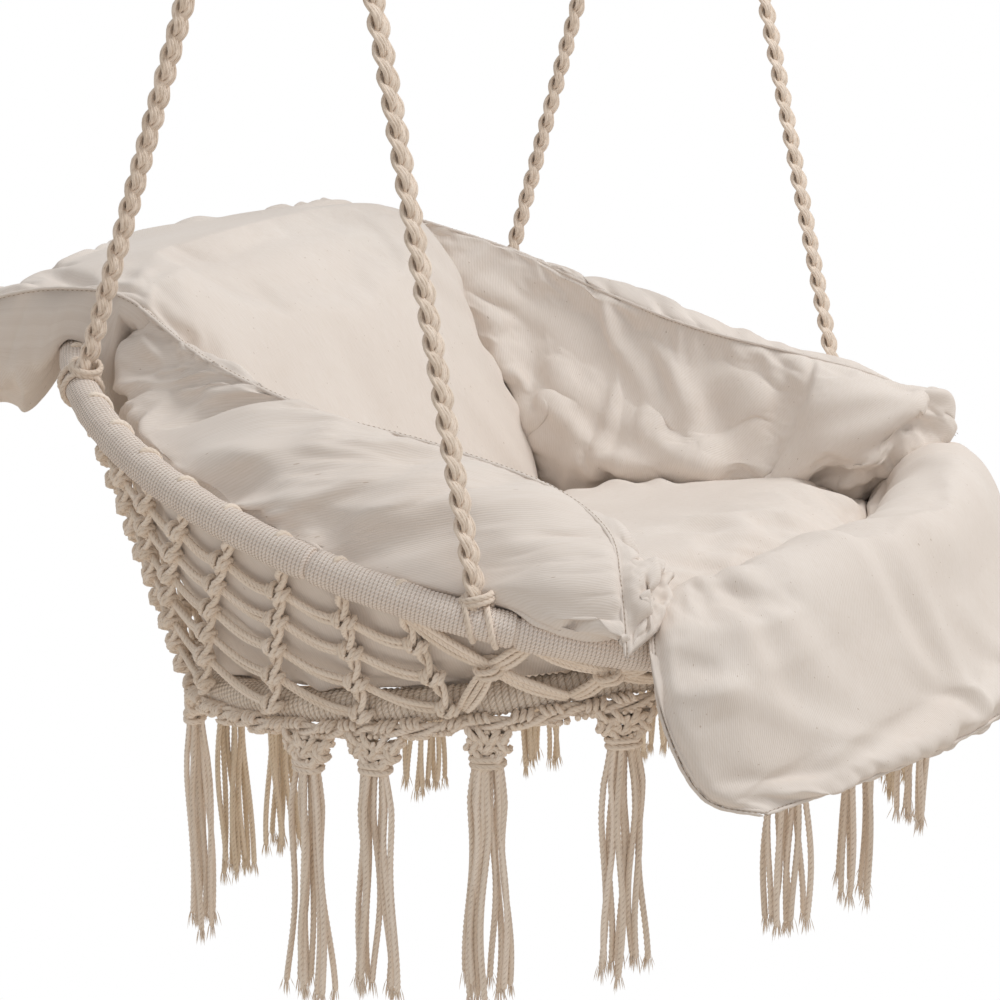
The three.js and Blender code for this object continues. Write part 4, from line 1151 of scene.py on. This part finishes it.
def back_panel():
    low, high = edge(SEAT_BACK_SHARES), edge(BACK_TOP_SHARES)
    right, left = edge(BACK_SIDE_SHARES["right"], -1), edge(BACK_SIDE_SHARES["left"])

    def dip(u, v):
        return BACK_DIP * fullness(u) * np.sin(math.pi * v * v)

    def ear(u, v):
        """The filling that the top corners keep where they hang over the ring."""
        near = 1.3 * swell(u, -0.12, 0.34) * swell(v, 0.45, 1.14)
        return near + swell(u, 0.66, 1.02) * swell(v, 0.45, 1.02)

    def pleats(u, v):
        """Creases that fan out over the near ear from where the ring pinches it."""
        fan = np.arctan2(v - 0.6, u + 0.03)
        return (1 - 2 * np.abs(np.sin(7 * fan + 3 * v)) ** 0.7) * swell(u, -0.02, 0.36)

    def outside(middle, u, v):
        """The skin that lies on top of the ring and then hangs down outside it."""
        height, in_plane = arm_ring.split(middle)
        beyond = np.linalg.norm(in_plane, axis=-1) - arm_ring.radius
        past = np.clip((beyond - EAR_STARTS) / EAR_RUN, 0, 1)
        past = past * past * (3 - 2 * past)
        on_top = np.maximum(height - WRAP_RADIUS - EAR_CLEARANCE, CLEARANCE)
        hanging = OVERHANG + EAR_DROP * ear(u, v) + PLEAT_DEPTH * pleats(u, v)
        depth = on_top + past * (hanging * swell(u, -0.02, 1.02) * swell(v, -0.02, 1.02) - on_top)
        points = middle - arm_ring.up * depth[..., None] + unit(in_plane) * (EAR_OUT * past)[..., None]
        return clear_of_ring(points, arm_ring, EAR_CLEARANCE), beyond > -EAR_OVERLAP

    def face(middle, normal, u, v):
        thickness = BACK_CROWN * fullness(u) * fullness(v) ** 1.5 - dip(u, v)
        return middle + normal * thickness[..., None]

    def rear(middle, normal, u, v):
        belly = BACK_BELLY * fullness(u) * np.sin(math.pi * v**0.36) + EAR_INSIDE * ear(u, v)
        points = middle - normal * belly[..., None]
        inside = drape(beside_net(drape(points)))
        hanging, over = outside(middle, u, v)
        return np.where(over[..., None], hanging, inside)

    return Panel(lambda u, v: patch(low, high, right, left, u, v), face, rear, 96, 112)


def through(stations, share):
    """A smooth line through stations, each of which may itself be a grid of points."""
    spans = len(stations) - 1
    at = np.clip(share, 0, 1) * spans
    first = np.minimum(at.astype(int), spans - 1)
    along = (at - first)[..., None]

    def station(number):
        picked = np.zeros_like(stations[0])
        for i, points in enumerate(stations):
            picked = np.where((np.clip(number, 0, spans) == i)[..., None], points, picked)
        return picked

    before, start, end, after = (station(first + k) for k in (-1, 0, 1, 2))
    curve = 2 * start + (end - before) * along
    curve = curve + (2 * before - 5 * start + 4 * end - after) * along**2
    return 0.5 * (curve + (3 * start - before - 3 * end + after) * along**3)


def arm_panel(side, sign):
    low, high = edge(SEAT_SIDE_SHARES, sign), edge(ARM_TOP_SHARES[side], sign)
    back, front = edge(ARM_BACK_SHARES, sign), edge(ARM_FRONT_SHARES[side], sign)

    def outer(middle, normal, u, v):
        """From the seat out to the net, up along it, over the ring's inner side and to the top seam."""
        angle = sign * (36 + 92 * u)
        over = np.clip((u - 0.84) / 0.12, 0, 1)
        out, above = ARM_CONTACT_OUT + ARM_OVER_OUT * over, ARM_CONTACT_ABOVE + ARM_OVER_ABOVE * over
        contact = arm_ring.point(angle, out, above)
        foot = seat_ring.point(sign * (50 + 78 * u), ARM_FOOT_OUT, ARM_FOOT_ABOVE)
        net_low = foot + (arm_ring.point(angle) - foot) * 0.3
        net_high = foot + (arm_ring.point(angle) - foot) * 0.7
        skin = through([spline(low, u), foot, net_low, net_high, contact, spline(high, u)], v)
        return beside_net(middle + (skin - middle) * (swell(u, -0.01, 1.01) ** 0.6)[..., None])

    def inner(middle, normal, u, v):
        lobe = ARM_LOBE_HEIGHT[side] * swell(u, 0.6, 1.01) * fullness(v) ** 0.7
        return middle + normal * (sign * (ARM_CROWN * fullness(u) * fullness(v) + lobe))[..., None]

    skins = (inner, outer) if sign > 0 else (outer, inner)
    return Panel(lambda u, v: patch(low, high, back, front, u, v), *skins, 116, 80)


def front_panel():
    low, high = edge(SEAT_FRONT_SHARES), edge(FRONT_EDGE_SHARES)
    right, left = edge(FRONT_SIDE_SHARES["right"], -1), edge(FRONT_SIDE_SHARES["left"])

    def skin(height):
        def put(middle, normal, u, v):
            lift = FLAP_LIFT * np.sqrt(fullness(u)) * np.sin(math.pi * v)
            return draped_over_arm_ring(domed(height)(middle, normal, u, v) + normal * lift[..., None])

        return put

    upper, lower = skin(FLAP_CROWN), skin(-FLAP_BELLY)
    return Panel(lambda u, v: patch(low, high, right, left, 1 - u, v), upper, lower, 104, 64)


def puff(piece, panel, pressure, slack, most):
    """Lets cloth with a little slack swell between its sewn edges, within the given reach."""
    group = piece.vertex_groups.new(name="seam")
    group.add([int(i) for i in panel.pinned], 1.0, "REPLACE")
    modifier = piece.modifiers.new("cloth", "CLOTH")
    settings = modifier.settings
    for key, value in CLOTH_SETTINGS.items():
        setattr(settings, key, value)
    settings.uniform_pressure_force = pressure
    settings.shrink_min = -slack
    settings.effector_weights.gravity = 0
    modifier.collision_settings.use_self_collision = False
    modifier.collision_settings.use_collision = False
    modifier.point_cache.frame_start = 1
    modifier.point_cache.frame_end = CLOTH_FRAMES
    scene = bpy.context.scene
    for number in range(1, CLOTH_FRAMES + 1):
        scene.frame_set(number)
    graph = bpy.context.evaluated_depsgraph_get()
    moved = np.empty(len(panel.points) * 3, np.float32)
    piece.evaluated_get(graph).data.vertices.foreach_get("co", moved)
    piece.modifiers.remove(modifier)
    piece.vertex_groups.remove(group)
    scene.frame_set(1)
    shift = moved.reshape(-1, 3) - panel.points
    reach = np.linalg.norm(shift, axis=1, keepdims=True)
    return panel.points + shift * np.minimum(1, most / np.maximum(reach, TINY))


def vertex_normals(points, quads):
    corners = points[quads]
    faces = np.cross(corners[:, 2] - corners[:, 0], corners[:, 3] - corners[:, 1])
    normals = np.zeros_like(points)
    for k in range(4):
        np.add.at(normals, quads[:, k], faces)
    return unit(normals)


def folded(points, panel, count):
    """Presses short soft folds into the cloth. They start near the seams and fade inward."""
    flat = panel.uvs
    seams = flat[panel.pinned]
    middle = (seams.min(axis=0) + seams.max(axis=0)) / 2
    lift = np.zeros(len(points))
    for _ in range(count):
        for side in (0, 1):
            start = seams[rng.integers(len(seams))] + (0, side)
            inward = unit(middle + (0, side) - start)
            turn = rng.normal(0, 0.5)
            heading = np.array((
                inward[0] * math.cos(turn) - inward[1] * math.sin(turn),
                inward[0] * math.sin(turn) + inward[1] * math.cos(turn),
            ))
            length = rng.uniform(*FOLD_LENGTHS)
            width = rng.uniform(*FOLD_WIDTHS)
            bend = rng.uniform(-1.2, 1.2)
            away = flat - start
            along = away @ heading / length
            across = away @ np.array((-heading[1], heading[0])) - bend * length * along**2 * 0.3
            within = (along > 0) & (along < 1)
            fade = np.where(within, np.sin(math.pi * np.clip(along, 0, 1) ** 0.7), 0)
            spread = width * (1 + np.clip(along, 0, 1))
            off = across / spread
            ridge = np.exp(-(off**2)) - 0.55 * np.exp(-((off - 1.7) ** 2))
            lift += rng.uniform(0.5, 1) * FOLD_HEIGHT * fade * ridge
    lift[panel.pinned] = 0
    return points + vertex_normals(points, panel.quads) * lift[:, None]


def creased(points, panel, angle, out, above):
    """Presses sharp creases into the upper skin. They fan out from a place beside the arm ring."""
    away = points - arm_ring.point(angle, out, above)
    fan = np.arctan2(away[:, 2], away @ arm_ring.along(angle))
    near = np.clip(np.linalg.norm(away, axis=1) / CREASE_REACH, 0, 1)
    sharp = 1 - 2 * np.abs(np.sin(CREASE_COUNT * fan / 2 + 3 * near)) ** 0.6
    lift = CREASE_HEIGHT * sharp * np.sin(math.pi * near**0.7) * (panel.uvs[:, 1] < 1)
    lift[panel.pinned] = 0
    return points + vertex_normals(points, panel.quads) * lift[:, None]


def make_cushion(name, panel, material, pressure, slack, most, folds, settle):
    piece = new_object(name, panel.points, panel.quads, material, panel.uvs)
    points = panel.points
    points = puff(piece, panel, pressure, slack, most)
    points = folded(points, panel, folds)
    if name == "cushion_arm_right":
        for crease in ARM_CREASES:
            points = creased(points, panel, *crease)
    points = settle(points)
    piece.data.vertices.foreach_set("co", points.astype(np.float32).ravel())
    sharpen_seams(piece.data, panel)
    smooth = piece.modifiers.new("smooth", "SUBSURF")
    smooth.levels = smooth.render_levels = 1
    apply_modifiers(piece)
    place(piece, [name])


def sharpen_seams(mesh, panel):
    """Keeps the sewn edges sharp when the mesh is smoothed."""
    ends = np.empty(len(mesh.edges) * 2, np.int32)
    mesh.edges.foreach_get("vertices", ends)
    sewn = np.isin(ends.reshape(-1, 2), panel.pinned).all(axis=1)
    mesh.attributes.new("crease_edge", "FLOAT", "EDGE").data.foreach_set("value", sewn.astype(np.float32))
    corner = np.zeros(len(mesh.vertices), np.float32)
    corner[panel.corners] = 1
    mesh.attributes.new("crease_vert", "FLOAT", "POINT").data.foreach_set("value", corner)


def apply_modifiers(piece):
    graph = bpy.context.evaluated_depsgraph_get()
    mesh = bpy.data.meshes.new_from_object(piece.evaluated_get(graph))
    piece.modifiers.clear()
    piece.data = mesh


def welt(name, line, material, thread):
    """The sewn edge: two narrow folds of twill with a line of stitches between them."""
    folds = Cords()
    points, _ = resample(line, WELT_STEP)
    tangents, side, other = carried_sides(points)
    for shift in (-WELT_SHIFT, WELT_SHIFT):
        folds.add(points + side * shift, WELT_RADIUS, plies=1, sides=6, step=WELT_STEP)
    place(folds.build(name, material), [])
    stitches = Cords()
    length = np.linalg.norm(np.diff(points, axis=0), axis=1).sum()
    for value in np.linspace(0, len(points) - 1.001, int(length / STITCH_PITCH)):
        i = int(value)
        start = points[i] + (points[i + 1] - points[i]) * (value - i)
        end = start + tangents[i] * STITCH_LENGTH
        for lift in (-STITCH_LIFT, STITCH_LIFT):
            offset = other[i] * lift
            stitch = np.array((start + offset, (start + end) / 2 + offset * 1.2, end + offset))
            stitches.add(stitch, STITCH_RADIUS, plies=1, sides=4, step=STITCH_STEP)
    place(stitches.build(f"{name}_stitches", thread), [])


def sewn_edges():
    """Each seam's name, its shares, the side it is mirrored to and how many points its line has."""
    for side, sign in SIDES:
        yield f"seam_arm_{side}", ARM_TOP_SHARES[side], sign, 120
        yield f"seam_front_{side}", FRONT_SIDE_SHARES[side], sign, 60
        yield f"seam_seat_{side}", SEAT_SIDE_SHARES, sign, 60
    for side, sign in SIDES:
        yield f"seam_back_{side}", BACK_SIDE_SHARES[side], sign, 100
    yield "seam_seat_back", SEAT_BACK_SHARES, 1, 60
    yield "seam_seat_front", SEAT_FRONT_SHARES, 1, 60
    yield "seam_back_top", BACK_TOP_SHARES, 1, 80
    yield "seam_front", FRONT_EDGE_SHARES, 1, 80


# Scene
def make_camera():
    data = bpy.data.cameras.new("camera")
    data.lens = CAMERA_LENS
    data.sensor_width = CAMERA_SENSOR
    data.clip_end = CAMERA_REACH
    camera = in_scene("camera", data)
    camera.location = CAMERA_PLACE
    toward = Vector(CAMERA_AIM) - Vector(CAMERA_PLACE)
    camera.rotation_mode = "QUATERNION"
    camera.rotation_quaternion = toward.to_track_quat("-Z", "Y")
    bpy.context.scene.camera = camera


def make_world():
    """Plain white to the camera and in reflections, and a softer level as light."""
    world = bpy.data.worlds.new("studio")
    bpy.context.scene.world = world
    nodes = Nodes(world)
    path = nodes.add("ShaderNodeLightPath")
    seen = nodes.add("ShaderNodeMath", operation="MAXIMUM")
    nodes.link(path.outputs["Is Camera Ray"], seen.inputs[0])
    nodes.link(path.outputs["Is Glossy Ray"], seen.inputs[1])
    level = nodes.add("ShaderNodeMapRange", {"To Min": WORLD_LIGHT, "To Max": 1.0})
    nodes.link(seen.outputs[0], level.inputs["Value"])
    background = nodes.tree.nodes["Background"]
    background.inputs["Color"].default_value = (1, 1, 1, 1)
    nodes.link(level.outputs["Result"], background.inputs["Strength"])


def make_lamp(name, spot, aim, power):
    data = bpy.data.lights.new(name, "AREA")
    data.shape = "DISK"
    data.size = LAMP_SIZE
    data.energy = power
    lamp = in_scene(name, data)
    lamp.location = spot
    lamp.rotation_euler = (Vector(aim) - Vector(spot)).to_track_quat("-Z", "Y").to_euler()


def make_floor():
    """White to the camera, and a warm matte that throws a little light back up."""
    nodes = Nodes(bpy.data.materials.new("pale_floor"))
    path = nodes.add("ShaderNodeLightPath")
    glow = nodes.add("ShaderNodeEmission", {"Strength": 1.0})
    matte = nodes.add("ShaderNodeBsdfDiffuse", {"Color": (0.92, 0.83, 0.73, 1)})
    mix = nodes.add("ShaderNodeMixShader")
    nodes.link(path.outputs["Is Camera Ray"], mix.inputs["Fac"])
    nodes.link(matte.outputs[0], mix.inputs[1])
    nodes.link(glow.outputs[0], mix.inputs[2])
    nodes.link(mix.outputs[0], nodes.tree.nodes["Material Output"].inputs["Surface"])
    corners = ((-1, -1), (1, -1), (1, 1), (-1, 1))
    points = np.array([(FLOOR_REACH * x, FLOOR_REACH * y, FLOOR_HEIGHT) for x, y in corners])
    floor = new_object("floor", points, np.array([[0, 1, 2, 3]]), nodes.owner)


def dress_steel():
    """Gives the steel nodes of the frame their looks, dull for the tubes and bright for the rest."""
    bright = steel_material("bright_steel", (0.5, 0.5, 0.49), 0.3)
    dull = steel_material("tube_steel", (0.45, 0.45, 0.44), 0.42)
    for node_name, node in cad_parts.items():
        is_tube = node_name.endswith("tube")
        if is_tube or node_name.startswith(("carabiner", "hang_ring")):
            node.data.materials.clear()
            node.data.materials.append(dull if is_tube else bright)
    return bright


# Steel bars
def middle_of(node_name):
    """The middle of a node's box, and the box's size."""
    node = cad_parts[node_name]
    corners = np.array([node.matrix_world @ Vector(corner) for corner in node.bound_box])
    return (corners.min(axis=0) + corners.max(axis=0)) / 2, corners.max(axis=0) - corners.min(axis=0)


def make_carabiner(side, inward, material):
    """An oval bar, open on the side where its gate is, with the lug that the gate's pin goes through."""
    middle, _ = middle_of(f"carabiner_{side}")
    turn = np.linspace(0, math.pi, 48)
    across = inward * CARABINER_BEND * np.cos(turn)
    rise = CARABINER_BEND * np.sin(turn)
    low = np.stack((middle[0] + across, 0 * turn, CARABINER_LOW - rise), axis=-1)
    top = np.stack((middle[0] - across, 0 * turn, CARABINER_TOP + rise), axis=-1)
    bar = Cords()
    line = np.concatenate((low, top, top[-1:] - (0, 0, NOSE)))
    bar.add(line, STEEL_RADIUS, plies=0, sides=20, step=STEEL_STEP)
    bar.add(low[0] + np.outer((-0.2, 1), (0, 0, LUG_HEIGHT)), LUG_RADIUS, plies=0, sides=12, step=LUG_STEP)
    piece = bar.build(f"carabiner_{side}", material)
    place(piece, [f"carabiner_{side}"], "carabiners")


def make_hang_ring(side, material):
    middle, size = middle_of(f"hang_ring_{side}")
    radius = size[2] / 2 - STEEL_RADIUS
    turn = np.radians(np.linspace(0, 368, 200))
    path = middle + np.stack((0 * turn, radius * np.sin(turn), radius * np.cos(turn)), axis=-1)
    ring = Cords()
    ring.add(path, STEEL_RADIUS, plies=0, sides=20, step=STEEL_STEP)
    place(ring.build(f"hang_ring_{side}", material), [f"hang_ring_{side}"])


make_camera()
make_world()
make_lamp("key", KEY_PLACE, KEY_AIM, KEY_POWER)
make_lamp("fill", FILL_PLACE, FILL_AIM, FILL_POWER)
make_floor()
bpy.context.scene.view_settings.view_transform = "Standard"

cotton = cotton_material("cotton_cord", (0.95, 0.83, 0.72), (0.86, 0.74, 0.63))
# A darker, warmer copy of the cord colour for the far tassels: painted shade.
painted_shade_cotton = cotton_material("painted_shade_cotton_cord", (0.97, 0.84, 0.68), (0.89, 0.75, 0.58))
wound_cotton = wound_material("wound_cotton", (0.99, 0.89, 0.81), (0.94, 0.83, 0.75), 0.62)
coarse_cotton = wound_material("coarse_wound_cotton", (0.96, 0.85, 0.74), (0.89, 0.78, 0.67), 0.9)
# A brighter copy of the cord colour for the net, the hem and the near tassels: painted light that lifts
# cords lying in shade.
painted_light_net_cotton = cotton_material("painted_light_net_cotton_cord", (1, 0.89, 0.78), (0.94, 0.82, 0.7))
twill = twill_material("cushion_twill", (0.83, 0.76, 0.7), (0.77, 0.69, 0.625))
thread = cotton_material("seam_thread", (0.5, 0.38, 0.27), (0.4, 0.3, 0.2))

bright_steel = dress_steel()
wound_ring("arm_ring_wrap", arm_ring, FINE_TURN, FINE_GROOVE, 22, wound_cotton, ARM_JOINTS)
wound_ring("seat_ring_wrap", seat_ring, COARSE_TURN, COARSE_GROOVE, 20, coarse_cotton, SEAT_JOINTS)
for rope_name in ROPE_FEET:
    make_rope(rope_name, cotton)
make_side_net(painted_light_net_cotton)
make_seat_net(cotton)
make_hem("left", 0, painted_light_net_cotton)
make_hem("right", 180, painted_light_net_cotton)
for number, angle in enumerate(TASSEL_ANGLES, 1):
    # Far tassels take the copy with painted shade, near ones the brighter copy with painted light.
    far = angle < 150 or angle > 340
    make_tassel(number, angle, painted_shade_cotton if far else painted_light_net_cotton)

cushions = {
    "cushion_seat": (seat_panel(), lambda points: points),
    "cushion_back": (back_panel(), draped_over_arm_ring),
    "cushion_arm_left": (arm_panel("left", 1), beside_net),
    "cushion_arm_right": (arm_panel("right", -1), beside_net),
    "cushion_front": (front_panel(), draped_over_arm_ring),
}
for name, (panel, settle) in cushions.items():
    make_cushion(name, panel, twill, *CLOTH_SWELL[name], settle)
for name, shares, sign, count in sewn_edges():
    welt(name, spline(edge(shares, sign), np.linspace(0, 1, count)), twill, thread)
for side, sign in SIDES:
    make_carabiner(side, -sign, bright_steel)
    make_hang_ring(side, bright_steel)
